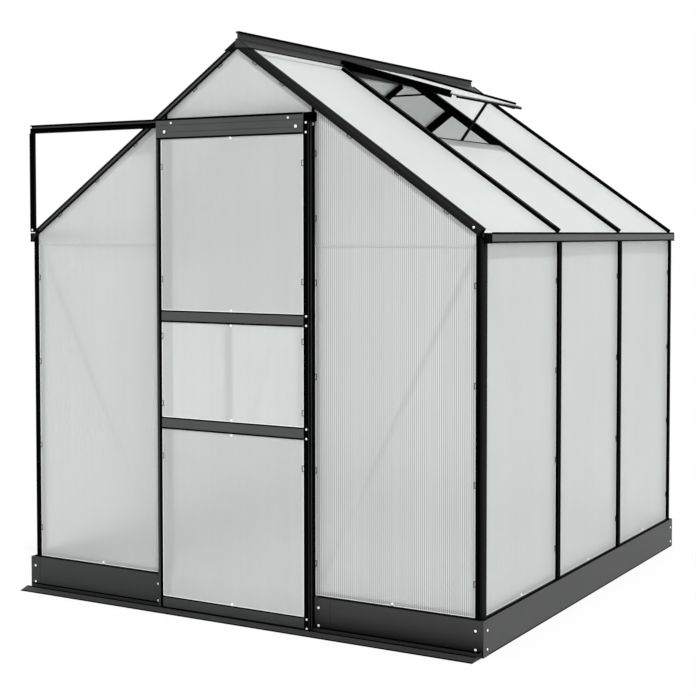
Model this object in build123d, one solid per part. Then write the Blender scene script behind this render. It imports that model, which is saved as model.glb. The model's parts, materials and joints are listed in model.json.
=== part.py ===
from build123d import *
from math import atan2, cos, degrees, hypot, radians, sin, tan
import os

# Walk-in greenhouse with an apex roof: dark aluminium bars on a folded steel base,
# twin-wall sheets held by wire clips, a sliding front door and one propped roof vent.
# Sizes in mm. X runs left to right, the door faces -Y and Z is up.

# Footprint and roof
base_width = 1907.6  # outside of the base plates, left to right
base_depth = 1918.0  # outside of the base plates, front to back
base_height = 118.5
roof_pitch = 35.0  # degrees
rafter_foot_height = 1363.0  # top of a gable rafter at the outer face of the posts
gutter_drop = 10.0  # gutter top below the rafter foot
ridge_rise = 26.3  # ridge crest above the gable rafters

# Folded base plates
base_gauge = 1.5
base_top_flange = 50.0
base_bottom_flange = 25.0
base_wrap = 41.0  # corner return that laps the next plate
base_bracket_width = 60.0
base_door_gap = 13.5  # base plates end this far outside the jamb centres

# Bars that carry two sheets side by side
panel_gauge = 4.0
bar_face = 24.0
bar_proud = 14.0  # how far a roof bar stands out of the sheets
side_proud = 11.0  # the same for the side studs
front_proud = 5.0  # the same for the bars of the front and rear walls
jamb_face = 9.5
bar_seat = 40.0
seat_gauge = 2.0
web_width = 12.0
web_depth = 15.0
bolt_slot = 6.0
bolt_slot_depth = 9.0

# Hollow bars at the corners and along the gables
corner_face = 28.0
corner_round = 16.0
corner_wall = 2.0
corner_fin = 18.0
side_inset = 8.8  # posts stand this far inside the base plates
front_inset = 14.5
rear_inset = 6.5
bar_end_inset = 4.75  # roof bars end this far inside the posts

# Bays
side_bay = 620.5  # pitch of the side studs and roof bars
jamb_offset = 309.5  # centre of a door jamb from the middle
gable_joint_drop = 53.0  # gable sheets meet wall sheets this far below the rafter foot

# Floor bars, gutters and ridge
floor_bar_gauge = 2.0
floor_bar_width = 42.0
floor_lip_height = 14.0
floor_lip_gauge = 1.5
gutter_height = 32.5
gutter_reach = 7.0  # gutter face beyond the posts
gutter_width = 37.0
gutter_gauge = 2.0
gutter_drip = 18.0  # roof sheets end this far inside the gutter face
gutter_cap_gauge = 1.2
gutter_sleeve = 45.0
ridge_web = 3.0
ridge_crest_width = 12.0
ridge_crest_gauge = 4.0
ridge_wing = 57.0
ridge_wing_gauge = 2.0
ridge_short_wing = 12.0  # wing above the vent
ridge_lower_wing = 45.0
ridge_front_inset = 6.0  # ridge ends inside the gable faces
ridge_rear_inset = 30.0
ridge_tie_height = 8.0
ridge_tie_gauge = 3.0
ridge_tie_drop = 95.0  # tie below the rafter apex

# Door, its tracks and rollers
door_left_lap = 12.3  # door edges outside the jamb centres
door_right_lap = 11.5
left_stile_width = 20.6
right_stile_width = 24.7
door_front = 26.0  # door face in front of the base
door_depth = 20.0
door_bottom = 8.0
bottom_rail_height = 44.2
mid_rail_height = 41.6
lower_mid_rail = 655.2  # underside of the lower middle rail
upper_mid_rail = 1036.6
header_height = 73.2
rail_gauge = 3.0
door_panel_recess = 1.5
stile_wall = 2.0
stile_flange = 8.0  # thin lap at the closing edge
header_return = 8.0
track_headroom = 16.0  # top of the door track below the rafters at the jambs
track_height = 30.0
track_front = 14.5
track_gauge = 2.0
track_end_inset = 20.0  # free end of the track inside the left posts
track_overrun = 16.5  # closed end of the track outside the right jamb
track_slot = 8.0
hanger_inset = 16.0  # hanger inside the left posts
hanger_width = 23.0
hanger_depth = 10.0
hanger_foot_drop = 7.0  # foot of the hanger below the rafter foot
hanger_spacer = 16.0
roller_spacing = 491.0
roller_middle = -8.0
roller_radius = 10.4
roller_width = 8.0
axle_radius = 2.5
lintel_height = 30.0
lintel_wall = 2.0
sill_reach = 68.5  # threshold in front of the base
sill_end_inset = 6.8  # threshold ends inside the base plates
sill_ramp_height = 12.0
sill_groove_front = 30.0
sill_groove_back = 3.0
sill_floor = 3.0
sill_flange_height = 18.5
sill_flange_gauge = 2.5
guide_length = 40.0
guide_width = 14.0
guide_clearance = 0.5
stile_bolt_inset = 11.7
stile_bolt_step = 16.0
header_bolt_step = 30.0
door_clip_near = 49.4  # clip centres beside the clear middle sheet, from its rails
door_clip_far = 97.0  # the same for the sheets above and below it
door_clip_upper = 110.8  # lowest clip of the top sheet above its rail

# Roof vent in the middle bay of the right slope
vent_angle = 18.5  # opening angle of the propped lid, degrees
vent_sill_station = 520.5  # from the ridge, measured down the slope
vent_sill_gauge = 2.0
vent_sill_depth = 24.0
vent_sill_rise = 3.0
vent_sill_seat = 24.5
hinge_station = 20.0
hinge_height = 10.0  # above the outer face of the roof sheets
hinge_bead = 3.0
hinge_wall = 2.5
lid_gap = 3.0
lid_bar_width = 16.0
lid_bar_height = 18.0
lid_top = 17.0
lid_end = 546.0
lid_bar_end = 517.0
lid_head = 17.0
lid_plate_gauge = 2.0
lid_skirt = 8.5
lid_edge = 3.0
lid_rim = 9.0  # side bars above the lid sheet
hinge_mouth = 28.0  # half opening of the hook, degrees
stay_width = 22.0
stay_gauge = 3.0
stay_offset = -21.0  # stay in front of the bay's middle
stay_lean = 48.0  # upper end of the stay behind its foot
stay_pivot_station = 528.0
stay_pivot_height = 6.0
stay_eye = 4.2
stay_pin = 2.0
stay_foot_drop = 6.0  # lower end of the stay inside the roof sheets
stay_holes = 4
stay_hole_pitch = 36.0
stay_hole_radius = 2.5
lug_gauge = 2.0
lug_clearance = 2.5  # room beside the leaning stay
lug_width = 10.0

# Braces, strips, clips, pegs and bolts
brace_width = 20.0
brace_gauge = 2.0
brace_top_drop = 20.0  # braces end this far below the sheet joint
brace_bottom_rise = 46.5  # and above the base
strip_height = 6.0
strip_gauge = 1.0
clip_length = 20.0
clip_reach = 7.0
clip_wire = 1.8
wall_clip_count = 4
low_clip_rise = 111.5  # lowest wall clip above the base
top_clip_drop = 178.0  # highest wall clip below the rafter foot
jamb_clip_rises = (39.5, 257.5)  # clips along the jambs above the rafter foot
rafter_clip_stations = (100.0, 235.0, 560.0, 780.0, 1000.0)
peg_radius = 4.5
peg_height = 3.5
peg_sides = 12
peg_lift = 6.0  # peg centres above the floor bars
bolt_radius = 4.0
bolt_height = 3.0
base_bolt_rows = (23.5, 84.5)
corner_bolt_inset = 28.0
lap_bolt_inset = 24.0
left_bracket_bolt = 18.8
right_bracket_bolt = 16.0

# Fits
mitre_gap = 0.3
sheet_gap = 0.5
stack_gap = 0.3
running_fit = 0.05
roller_clearance = 0.3
stay_clearance = 1.5

# Derived planes and lines
half_base = base_width / 2
half_post = half_base - side_inset
front_face = (sill_reach - base_depth) / 2
rear_face = front_face + base_depth
gable_front = front_face + front_inset
gable_rear = rear_face - rear_inset
mid_depth = (gable_front + gable_rear) / 2
front_glass = gable_front + front_proud
side_glass = half_post - side_proud
pitch = radians(roof_pitch)
rafter_apex = rafter_foot_height + half_post * tan(pitch)
ridge_top = rafter_apex + ridge_rise
glass_apex = rafter_apex - bar_proud / cos(pitch)
gutter_top = rafter_foot_height - gutter_drop
gutter_floor = gutter_top - gutter_height
gable_joint = rafter_foot_height - gable_joint_drop
brace_top = gable_joint - brace_top_drop
brace_bottom = base_height + brace_bottom_rise
low_clip = base_height + low_clip_rise
clip_step = (rafter_foot_height - top_clip_drop - low_clip) / (wall_clip_count - 1)
clip_rows = tuple(low_clip + number * clip_step for number in range(wall_clip_count))
jamb_clip_rows = tuple(rafter_foot_height + rise for rise in jamb_clip_rises)
gutter_face = half_post + gutter_reach
gutter_inner = gutter_face - gutter_width
under_seat = panel_gauge + seat_gauge
bar_depth = under_seat + web_depth
stud_rows = (mid_depth - side_bay / 2, mid_depth + side_bay / 2)
floor_bar_top = base_height + floor_bar_gauge
tube_level = bar_proud - corner_face  # underside of a gable rafter, from the roof sheets
fin_level = tube_level - corner_fin - sheet_gap
roof_back_end = (gutter_inner - sheet_gap) / cos(pitch)
roof_bar_end = (half_post - bar_end_inset - bar_proud * sin(pitch)) / cos(pitch)
roof_sheet_end = (gutter_face - gutter_drip) / cos(pitch)
roof_back_start = ridge_lower_wing + sheet_gap
roof_cap_start = ridge_web / cos(pitch) + panel_gauge * tan(pitch)
door_face = front_face - door_front
door_back = door_face + door_depth
track_face = front_face - track_front
track_top = glass_apex + tube_level / cos(pitch) - jamb_offset * tan(pitch) - track_headroom
track_bottom = track_top - track_height
track_left = track_end_inset - half_post
track_right = jamb_offset + track_overrun
hanger_left = hanger_inset - half_post
hanger_right = hanger_left + hanger_width
hanger_foot = rafter_foot_height - hanger_foot_drop
door_left = -jamb_offset - door_left_lap
door_right = jamb_offset + door_right_lap
header_top = track_top - stack_gap
header_bottom = header_top - header_height
door_clip_rows = (
    lower_mid_rail - door_clip_far,
    lower_mid_rail + mid_rail_height + door_clip_near,
    upper_mid_rail - door_clip_near,
    upper_mid_rail + mid_rail_height + door_clip_upper,
    header_bottom - door_clip_far,
)
sill_half_length = half_base - sill_end_inset
base_door_edge = jamb_offset + base_door_gap
stile_top = track_bottom - track_gauge / 2 - stack_gap
roller_height = track_bottom + track_gauge + roller_clearance + roller_radius
vent_front = stud_rows[0] + bar_face / 2
vent_rear = stud_rows[1] - bar_face / 2
stay_row = mid_depth + stay_offset
far = base_width + base_depth + ridge_top

down_slope = Vector(cos(pitch), 0, -sin(pitch))
slope_normal = Vector(sin(pitch), 0, cos(pitch))
up = Vector(0, 0, 1)
to_front = Vector(0, -1, 0)
to_rear = Vector(0, 1, 0)
to_right = Vector(1, 0, 0)


def rect(x0, x1, y0, y1):
    return Pos((x0 + x1) / 2, (y0 + y1) / 2) * Rectangle(x1 - x0, y1 - y0)


def block(x0, x1, y0, y1, z0, z1):
    return Pos((x0 + x1) / 2, (y0 + y1) / 2, (z0 + z1) / 2) * Box(x1 - x0, y1 - y0, z1 - z0)


def outline(*points):
    return make_face(Polyline(*points, close=True))


def left_copy(shape):
    return mirror(shape, about=Plane.YZ)


def rear_copy(shape):
    return mirror(shape, about=Plane(origin=(0, mid_depth, 0), z_dir=(0, 1, 0)))


def both_sides(shape):
    return [shape, left_copy(shape)]


# A point on the right slope: down the slope from the ridge, and out of the roof sheets
def roof_point(station, height, y):
    return Vector(0, y, glass_apex) + down_slope * station + slope_normal * height


# Height of the line that lies a given distance out of the roof sheets
def roof_line(height, x):
    return glass_apex + height / cos(pitch) - abs(x) * tan(pitch)


# A profile drawn in slope station and height, run from front to back
def across_slope(profile, y_start, y_end):
    plane = Plane(origin=roof_point(0, 0, y_end), x_dir=down_slope, z_dir=to_front)
    return extrude(plane * profile, y_end - y_start)


def above_slope(height):
    return across_slope(rect(-far, far, height, far), -far, far)


# Plane for a bar that stands in a wall: local Y points out of the wall
def bar_plane(outward, x, y):
    return Plane(origin=(x, y, 0), x_dir=outward.cross(up), z_dir=up)


# Plane on a wall's face: local X along the wall, local Y up, extrusions go outwards
def face_plane(outward, x, y, z):
    return Plane(origin=(x, y, z), x_dir=up.cross(outward), z_dir=outward)


# Outer half of a glazing bar, with the groove that the wire clips hook into
def cap_section(width, proud):
    groove = width / 3
    floor = proud / 2
    body = rect(-width / 2, width / 2, -panel_gauge, proud)
    return body - rect(-groove / 2, groove / 2, floor, proud)


# Inner half: the seat behind the sheets and the web with its bolt slot
def back_section():
    seat = rect(-bar_seat / 2, bar_seat / 2, -under_seat, -panel_gauge)
    web = rect(-web_width / 2, web_width / 2, -bar_depth, -under_seat)
    slot = rect(-bolt_slot / 2, bolt_slot / 2, -bar_depth, bolt_slot_depth - bar_depth)
    return seat + web - slot


def glazing_bar(plane, proud, cap_from, cap_to, back_from, back_to):
    cap = extrude(plane.offset(cap_from) * cap_section(bar_face, proud), cap_to - cap_from)
    back = extrude(plane.offset(back_from) * back_section(), back_to - back_from)
    return cap + back


# Square tube with one large rounded edge
def corner_tube():
    inner_round = corner_round - corner_wall
    inner_edge = corner_face - corner_wall
    outer = rect(0, corner_face, 0, corner_face)
    outer = fillet(outer.vertices().sort_by_distance((0, 0, 0))[0], corner_round)
    hollow = rect(corner_wall, inner_edge, corner_wall, inner_edge)
    hollow = fillet(hollow.vertices().sort_by_distance((0, 0, 0))[0], inner_round)
    return outer - hollow


# Seat fins behind the two sheets that meet at a corner bar
def corner_fins(first_proud, second_proud):
    tip = corner_face + corner_fin
    first = first_proud + panel_gauge
    second = second_proud + panel_gauge
    return [
        rect(corner_face, tip, first, first + seat_gauge),
        rect(second, second + seat_gauge, corner_face, tip),
    ]


# One folded plate of the base: wall, top and bottom flange, drawn along local X
def base_plate(length, flange_start, flange_end):
    wall = block(0, length, 0, base_gauge, 0, base_height)
    top = block(flange_start, flange_end, 0, base_top_flange, base_height - base_gauge, base_height)
    foot = block(flange_start, flange_end, 0, base_bottom_flange, 0, base_gauge)
    return wall + top + foot


# A plate between two corners whose far end laps the next plate
def lapped_plate(length, clear):
    plate = base_plate(length, clear, length - clear)
    lap = block(length, length + base_gauge, 0, base_wrap + base_gauge, 0, base_height)
    return plate + lap


def base_plates():
    clear = base_top_flange + base_gauge
    across = base_width - 3 * base_gauge
    along = base_depth - 3 * base_gauge
    front_y = front_face + base_gauge
    rear_y = rear_face - base_gauge
    side_x = half_base - base_gauge
    reach = side_x - base_door_edge
    full = lapped_plate(across, clear)
    side = lapped_plate(along, 2 * base_gauge)
    lap = block(reach, reach + base_gauge, 0, base_wrap + base_gauge, 0, base_height)
    front_right = base_plate(reach, 0, reach - base_top_flange) + lap
    front_left = base_plate(reach - base_gauge, base_top_flange, reach - base_gauge)
    return {
        "base_rear_plate": Pos(side_x - base_gauge, rear_y, 0) * Rot(0, 0, 180) * full,
        "base_right_plate": Pos(side_x, front_y + base_gauge, 0) * Rot(0, 0, 90) * side,
        "base_left_plate": Pos(-side_x, rear_y - base_gauge, 0) * Rot(0, 0, -90) * side,
        "base_front_right_plate": Pos(base_door_edge, front_y, 0) * front_right,
        "base_front_left_plate": Pos(base_gauge - side_x, front_y, 0) * front_left,
    }


# Flat plates that stiffen the base where the doorway breaks it
def base_brackets():
    outer = base_door_edge + base_bracket_width
    plate = block(base_door_edge, outer, front_face, front_face + base_gauge, 0, base_height - base_gauge)
    return both_sides(plate)


# Threshold with a ramp, a groove for the door guides and an upstand at the back
def door_sill():
    flange_front = -sill_groove_back
    flange_back = sill_flange_gauge - sill_groove_back
    profile = outline(
        (-sill_reach, 0),
        (-sill_groove_front, sill_ramp_height),
        (-sill_groove_front, sill_floor),
        (flange_front, sill_floor),
        (flange_front, sill_flange_height),
        (flange_back, sill_flange_height),
        (flange_back, sill_floor),
        (0, sill_floor),
        (0, 0),
    )
    plane = Plane(origin=(-sill_half_length, front_face, 0), x_dir=to_rear, z_dir=to_right)
    return extrude(plane * profile, 2 * sill_half_length)


def front_right_post():
    plane = Plane(origin=(half_post, gable_front, base_height), x_dir=to_rear, z_dir=up)
    tube = extrude(plane * corner_tube(), rafter_foot_height - base_height)
    fin_length = gutter_floor - sheet_gap - base_height
    fins = [extrude(plane * fin, fin_length) for fin in corner_fins(side_proud, front_proud)]
    return [tube - above_slope(tube_level)] + fins


def right_studs():
    studs = []
    for row in stud_rows:
        plane = bar_plane(to_right, side_glass, row)
        studs.append(glazing_bar(plane, side_proud, floor_bar_top, gutter_floor, floor_bar_top, gutter_floor))
    return studs


# Upright in a gable wall, cut under the rafter
def gable_upright(width, foot, back_foot):
    plane = bar_plane(to_front, jamb_offset, front_glass)
    cap = extrude(plane.offset(foot) * cap_section(width, front_proud), rafter_apex - foot)
    back = extrude(plane.offset(back_foot) * back_section(), rafter_apex - back_foot)
    return (cap - above_slope(tube_level)) + (back - above_slope(fin_level))


def door_lintel():
    half = jamb_offset - jamb_face / 2
    back = front_glass + panel_gauge
    outer = block(-half, half, gable_front, back, track_bottom, track_bottom + lintel_height)
    hollow = block(-half, half, gable_front + lintel_wall, back - lintel_wall,
                   track_bottom + lintel_wall, track_bottom + lintel_height - lintel_wall)
    return outer - hollow


# Floor bar of a wall, drawn along local X with local Y out of the wall
def floor_bar(length, bays):
    lip_front = -panel_gauge - stack_gap
    lip_back = lip_front - floor_lip_gauge
    bar = block(0, length, -floor_bar_width, 0, base_height, floor_bar_top)
    for bay_from, bay_to in bays:
        bar += block(bay_from, bay_to, lip_back, lip_front, floor_bar_top, floor_bar_top + floor_lip_height)
    return bar


def bays_between(start, end, bars, width):
    half = width / 2 + sheet_gap
    edges = [start] + [edge for bar in bars for edge in (bar - half, bar + half)] + [end]
    return list(zip(edges[::2], edges[1::2]))


def floor_bars():
    reach = corner_face + corner_fin + sheet_gap
    side_from = gable_front + reach
    side_length = gable_rear - gable_front - 2 * reach
    side_bays = bays_between(0, side_length, [row - side_from for row in stud_rows], bar_seat)
    right = Pos(side_glass, side_from + side_length, 0) * Rot(0, 0, -90) * floor_bar(side_length, side_bays)
    gable_end = half_post - reach
    jamb_edge = jamb_offset + bar_seat / 2 + sheet_gap
    front_length = gable_end - jamb_edge
    front = floor_bar(front_length, [(0, front_length)])
    front_right = Pos(gable_end, front_glass, 0) * Rot(0, 0, 180) * front
    studs = [gable_end - jamb_offset, gable_end + jamb_offset]
    rear_bays = bays_between(0, 2 * gable_end, studs, bar_seat)
    rear = Pos(-gable_end, 2 * mid_depth - front_glass, 0) * floor_bar(2 * gable_end, rear_bays)
    return both_sides(right) + both_sides(front_right) + [rear]


# Eaves gutter: outer face, floor and the wall that carries the roof sheets
def right_gutter():
    inner_top = roof_line(-panel_gauge, gutter_inner + gutter_gauge) - mitre_gap
    inner_wall = gutter_inner + gutter_gauge
    inside = gutter_floor + gutter_gauge
    post_edge = gable_front + corner_face + sheet_gap
    post = block(0, half_post + mitre_gap, gable_front, post_edge, 0, far)
    floor = block(gutter_inner, gutter_face, gable_front, gable_rear, gutter_floor, inside)
    face = block(gutter_face - gutter_gauge, gutter_face, gable_front, gable_rear, inside, gutter_top)
    wall = block(gutter_inner, inner_wall, post_edge, 2 * mid_depth - post_edge, inside, inner_top)
    return [floor - post - rear_copy(post), face, wall]


# Sleeve over the front end of a gutter and a flat plate on its rear end
def gutter_caps():
    inner = half_post + mitre_gap
    outer = gutter_face + gutter_cap_gauge
    low = gutter_floor - gutter_cap_gauge
    plate = block(inner, outer, gable_front - gutter_cap_gauge, gable_front, low, gutter_top)
    side = block(gutter_face, outer, gable_front, gable_front + gutter_sleeve, low, gutter_top)
    bottom = block(inner, outer, gable_front, gable_front + gutter_sleeve, low, gutter_floor)
    rear_plate = rear_copy(plate)
    return both_sides(plate + side + bottom) + both_sides(rear_plate)


def front_right_rafter():
    origin = roof_point(0, bar_proud, gable_front)
    plane = Plane(origin=origin, x_dir=-slope_normal, z_dir=down_slope)
    upper = plane.offset(-corner_face)
    rafter = extrude(upper * corner_tube(), corner_face + roof_bar_end)
    for fin in corner_fins(front_proud, bar_proud):
        rafter += extrude(upper * fin, corner_face + roof_back_end)
    return rafter - block(-far, mitre_gap, -far, far, 0, far)


def roof_bar(row):
    plane = Plane(origin=roof_point(0, 0, row), x_dir=to_rear, z_dir=down_slope)
    return glazing_bar(plane, bar_proud, roof_cap_start, roof_bar_end, roof_back_start, roof_back_end)


# One wing of the ridge on the right slope, cut off at the middle
def ridge_wing_run(reach, low, high, y_start, y_end):
    wing = across_slope(rect(-ridge_wing, reach, low, high), y_start, y_end)
    return wing - block(-far, 0, -far, far, 0, far)


# Upper wings over the sheets, lower wings under them, a web and a T-shaped crest
def ridge_beam():
    ridge_front = gable_front + ridge_front_inset
    ridge_rear = gable_rear - ridge_rear_inset
    inner_front = gable_front + corner_face + corner_fin + sheet_gap
    inner_rear = 2 * mid_depth - inner_front
    wing_top = bar_proud + ridge_wing_gauge
    lower = ridge_wing_run(ridge_lower_wing, -under_seat, -panel_gauge, inner_front, inner_rear)
    web_foot = roof_line(-under_seat, 0)
    half_web = ridge_web / 2
    crest = ridge_crest_width / 2
    beam = block(-half_web, half_web, ridge_front, ridge_rear, rafter_apex, ridge_top)
    beam += block(-half_web, half_web, inner_front, inner_rear, web_foot, ridge_top)
    beam += block(-crest, crest, ridge_front, ridge_rear, ridge_top - ridge_crest_gauge, ridge_top)
    beam += lower + left_copy(lower)
    beam += left_copy(ridge_wing_run(ridge_wing, bar_proud, wing_top, ridge_front, ridge_rear))
    beam += ridge_wing_run(ridge_wing, bar_proud, wing_top, ridge_front, vent_front)
    beam += ridge_wing_run(ridge_short_wing, bar_proud, wing_top, vent_front, vent_rear)
    beam += ridge_wing_run(ridge_wing, bar_proud, wing_top, vent_rear, ridge_rear)
    return beam + vent_hinge_bead()


# Round bead on a neck, along the short wing, that the vent lid turns on
def vent_hinge_bead():
    lean = hinge_lean()
    aside = Vector(sin(lean), cos(lean)) * (ridge_wing_gauge / 2)
    root = Vector(ridge_short_wing - ridge_wing_gauge / 2, bar_proud + ridge_wing_gauge / 2)
    tip = Vector(hinge_station, hinge_height)
    neck = outline(root + aside, tip + aside, tip - aside, root - aside)
    bead = Pos(hinge_station, hinge_height) * Circle(hinge_bead)
    front, rear = lid_span()
    return across_slope(neck + bead, front, rear)


# Short bars that tie the left and right roof bars below the ridge
def ridge_ties():
    level = rafter_apex - ridge_tie_drop
    half = (glass_apex - under_seat / cos(pitch) - level - ridge_tie_height) / tan(pitch) - sheet_gap
    ties = []
    for row in stud_rows:
        side = row + web_width / 2
        ties.append(block(-half, half, side, side + ridge_tie_gauge, level, level + ridge_tie_height))
    return ties


# Cross bar at the lower edge of the vent opening, with a seat for the sheet below it
def vent_sill():
    lower = vent_sill_station + vent_sill_gauge
    wide = rect(vent_sill_station, lower, -panel_gauge, vent_sill_rise)
    deep = rect(vent_sill_station, lower, -vent_sill_depth, -panel_gauge)
    seat = rect(vent_sill_station, vent_sill_station + vent_sill_seat, -under_seat, -panel_gauge)
    inner_front = stud_rows[0] + bar_seat / 2
    inner_rear = stud_rows[1] - bar_seat / 2
    return across_slope(wide, vent_front, vent_rear) + across_slope(deep + seat, inner_front, inner_rear)


def door_track():
    outer = block(track_left, track_right, track_face, gable_front, track_bottom, track_top)
    hollow = block(track_left, track_right, track_face + track_gauge, gable_front - track_gauge,
                   track_bottom + track_gauge, track_top - track_gauge)
    slot = block(track_left, track_right, track_face, track_face + track_gauge,
                 roller_height - track_slot / 2, roller_height + track_slot / 2)
    return outer - hollow - slot


# Channel that hangs the free end of the track off the left rafter foot
def track_hanger():
    back = track_face + hanger_depth
    spacer_top = hanger_foot + hanger_spacer
    wall = track_gauge
    bar = block(hanger_left, hanger_right, track_face, back, hanger_foot, track_bottom)
    foot_edges = bar.edges().filter_by(Axis.Y).group_by(Axis.Z)[0]
    bar = fillet(foot_edges, hanger_width / 4)
    bar -= block(hanger_left + wall, hanger_right - wall, track_face + wall, back, spacer_top, track_bottom)
    inset = hanger_width / 4
    return bar + block(hanger_left + inset, hanger_right - inset, back, gable_front, hanger_foot, spacer_top)


# Flat diagonal behind the sheets, drawn on a wall's face from one point to another
def brace(outward, start, end):
    run = end - start
    across = up.cross(outward).dot(run)
    rise = run.Z
    plane = Plane(origin=(start + end) * 0.5, x_dir=up.cross(outward) * across + up * rise, z_dir=outward)
    return extrude(plane * Rectangle(hypot(across, rise), brace_width), brace_gauge)


def wall_braces():
    depth = under_seat + brace_gauge
    post_edge = corner_face + corner_fin / 2
    stud_edge = bar_seat / 2
    side_x = side_glass - depth
    front_y = front_glass + depth
    side = brace(
        to_right,
        Vector(side_x, gable_front + post_edge, brace_top),
        Vector(side_x, stud_rows[0] - stud_edge, brace_bottom),
    )
    gable = brace(
        to_front,
        Vector(half_post - post_edge, front_y, brace_top),
        Vector(jamb_offset + stud_edge, front_y, brace_bottom),
    )
    right = [side, rear_copy(side), gable, rear_copy(gable)]
    return right + [left_copy(piece) for piece in right]


# Side wall sheets between the posts and the studs
def right_wall_panels():
    start = gable_front + corner_face + sheet_gap
    end = 2 * mid_depth - start
    bottom = floor_bar_top + stack_gap
    top = gutter_floor - stack_gap
    inner = side_glass - panel_gauge
    bays = bays_between(start, end, stud_rows, bar_face)
    return [block(inner, side_glass, bay_from, bay_to, bottom, top) for bay_from, bay_to in bays]


# A gable sheet from its outline in X and Z
def gable_sheet(*points):
    plane = Plane(origin=(0, front_glass + panel_gauge, 0), x_dir=to_right, z_dir=to_front)
    return extrude(plane * outline(*points), panel_gauge)


def wall_sheet(x0, x1):
    bottom = floor_bar_top + stack_gap
    top = gable_joint - strip_gauge / 2
    return gable_sheet((x0, bottom), (x1, bottom), (x1, top), (x0, top))


# Sheet in the corner of a gable, under the rafter
def gable_side_sheet(bar):
    inner = jamb_offset + bar / 2 + sheet_gap
    outer = half_post - corner_face - sheet_gap
    bottom = gable_joint + strip_gauge / 2
    level = tube_level - sheet_gap
    return gable_sheet((inner, bottom), (outer, bottom), (outer, roof_line(level, outer)),
                       (inner, roof_line(level, inner)))


# Five-sided sheet under the apex
def gable_apex_sheet(bar, bottom):
    half = jamb_offset - bar / 2 - sheet_gap
    level = tube_level - sheet_gap
    shoulder = roof_line(level, half)
    return gable_sheet((-half, bottom), (half, bottom), (half, shoulder), (0, roof_line(level, 0)),
                       (-half, shoulder))


# The outer sheets of a gable wall, beside uprights of a given width
def wall_sheets(bar):
    return both_sides(wall_sheet(jamb_offset + bar / 2 + sheet_gap, half_post - corner_face - sheet_gap))


def front_gable_panels():
    above_track = track_bottom + lintel_height + stack_gap
    return both_sides(gable_side_sheet(jamb_face)) + [gable_apex_sheet(jamb_face, above_track)]


def rear_wall_panels():
    half = jamb_offset - bar_face / 2 - sheet_gap
    return [rear_copy(sheet) for sheet in wall_sheets(bar_face) + [wall_sheet(-half, half)]]


def rear_gable_panels():
    above_joint = gable_joint + strip_gauge / 2
    sheets = both_sides(gable_side_sheet(bar_face)) + [gable_apex_sheet(bar_face, above_joint)]
    return [rear_copy(sheet) for sheet in sheets]


# Roof sheets of the right slope; the vent bay starts below the vent sill
def right_roof_panels(open_vent):
    start = gable_front + corner_face + sheet_gap
    bays = bays_between(start, 2 * mid_depth - start, stud_rows, bar_face)
    below_vent = vent_sill_station + vent_sill_gauge + sheet_gap
    tops = [roof_cap_start, below_vent if open_vent else roof_cap_start, roof_cap_start]
    sheets = []
    for (bay_from, bay_to), top in zip(bays, tops):
        sheets.append(across_slope(rect(top, roof_sheet_end, -panel_gauge, 0), bay_from, bay_to))
    return sheets


# Clear T-strips where the gable sheets stand on the wall sheets
def joint_strip(x0, x1):
    half = strip_height / 2
    tongue = strip_gauge / 2 - stack_gap / 2
    back = front_glass + panel_gauge
    face = block(x0, x1, front_glass - strip_gauge, front_glass, gable_joint - half, gable_joint + half)
    return face + block(x0, x1, front_glass, back, gable_joint - tongue, gable_joint + tongue)


def joint_strips():
    outer = half_post - corner_face - sheet_gap
    half_bar = bar_face / 2 + sheet_gap
    front = both_sides(joint_strip(jamb_offset + jamb_face / 2 + sheet_gap, outer))
    rear = both_sides(joint_strip(jamb_offset + half_bar, outer))
    rear.append(joint_strip(half_bar - jamb_offset, jamb_offset - half_bar))
    return front + [rear_copy(strip) for strip in rear]


# Wire clip lying on a sheet, open towards the bar at local X = 0
def wire_clip(plane):
    half = clip_length / 2
    wire = clip_wire
    loop = rect(0, clip_reach, -half, half) - rect(0, clip_reach - wire, wire - half, half - wire)
    return extrude(plane * loop, wire)


def clip_column(outward, x, y, rows, side):
    clips = []
    for row in rows:
        plane = face_plane(outward, x, y, row)
        flipped = Plane(origin=plane.origin, x_dir=plane.x_dir * side, z_dir=outward)
        clips.append(wire_clip(flipped))
    return clips


def with_left(shapes):
    return shapes + [left_copy(shape) for shape in shapes]


def wall_clips():
    half = bar_face / 2
    post_edge = gable_front + corner_face
    side = clip_column(to_right, side_glass, post_edge, clip_rows, 1)
    side += clip_column(to_right, side_glass, 2 * mid_depth - post_edge, clip_rows, -1)
    for row in stud_rows:
        side += clip_column(to_right, side_glass, row - half, clip_rows, -1)
        side += clip_column(to_right, side_glass, row + half, clip_rows, 1)
    middle = clip_column(to_front, jamb_offset - half, front_glass, clip_rows + jamb_clip_rows, -1)
    rear = [rear_copy(clip) for clip in gable_clips(bar_face) + middle]
    return with_left(side + gable_clips(jamb_face) + rear)


# Clips of a gable wall: beside the corner post, outside the upright and under the rafter
def gable_clips(bar):
    clips = clip_column(to_front, half_post - corner_face, front_glass, clip_rows, -1)
    clips += clip_column(to_front, jamb_offset + bar / 2, front_glass, clip_rows + jamb_clip_rows, 1)
    for station in rafter_clip_stations:
        point = roof_point(station, tube_level, front_glass)
        clips.append(wire_clip(Plane(origin=point, x_dir=-slope_normal, z_dir=to_front)))
    return clips


def round_head(plane, radius, height):
    return extrude(plane * Circle(radius), height)


def peg_head(plane):
    return extrude(plane * RegularPolygon(peg_radius, peg_sides), peg_height)


def hex_head(plane):
    return extrude(plane * RegularPolygon(bolt_radius, 6), bolt_height)


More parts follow.
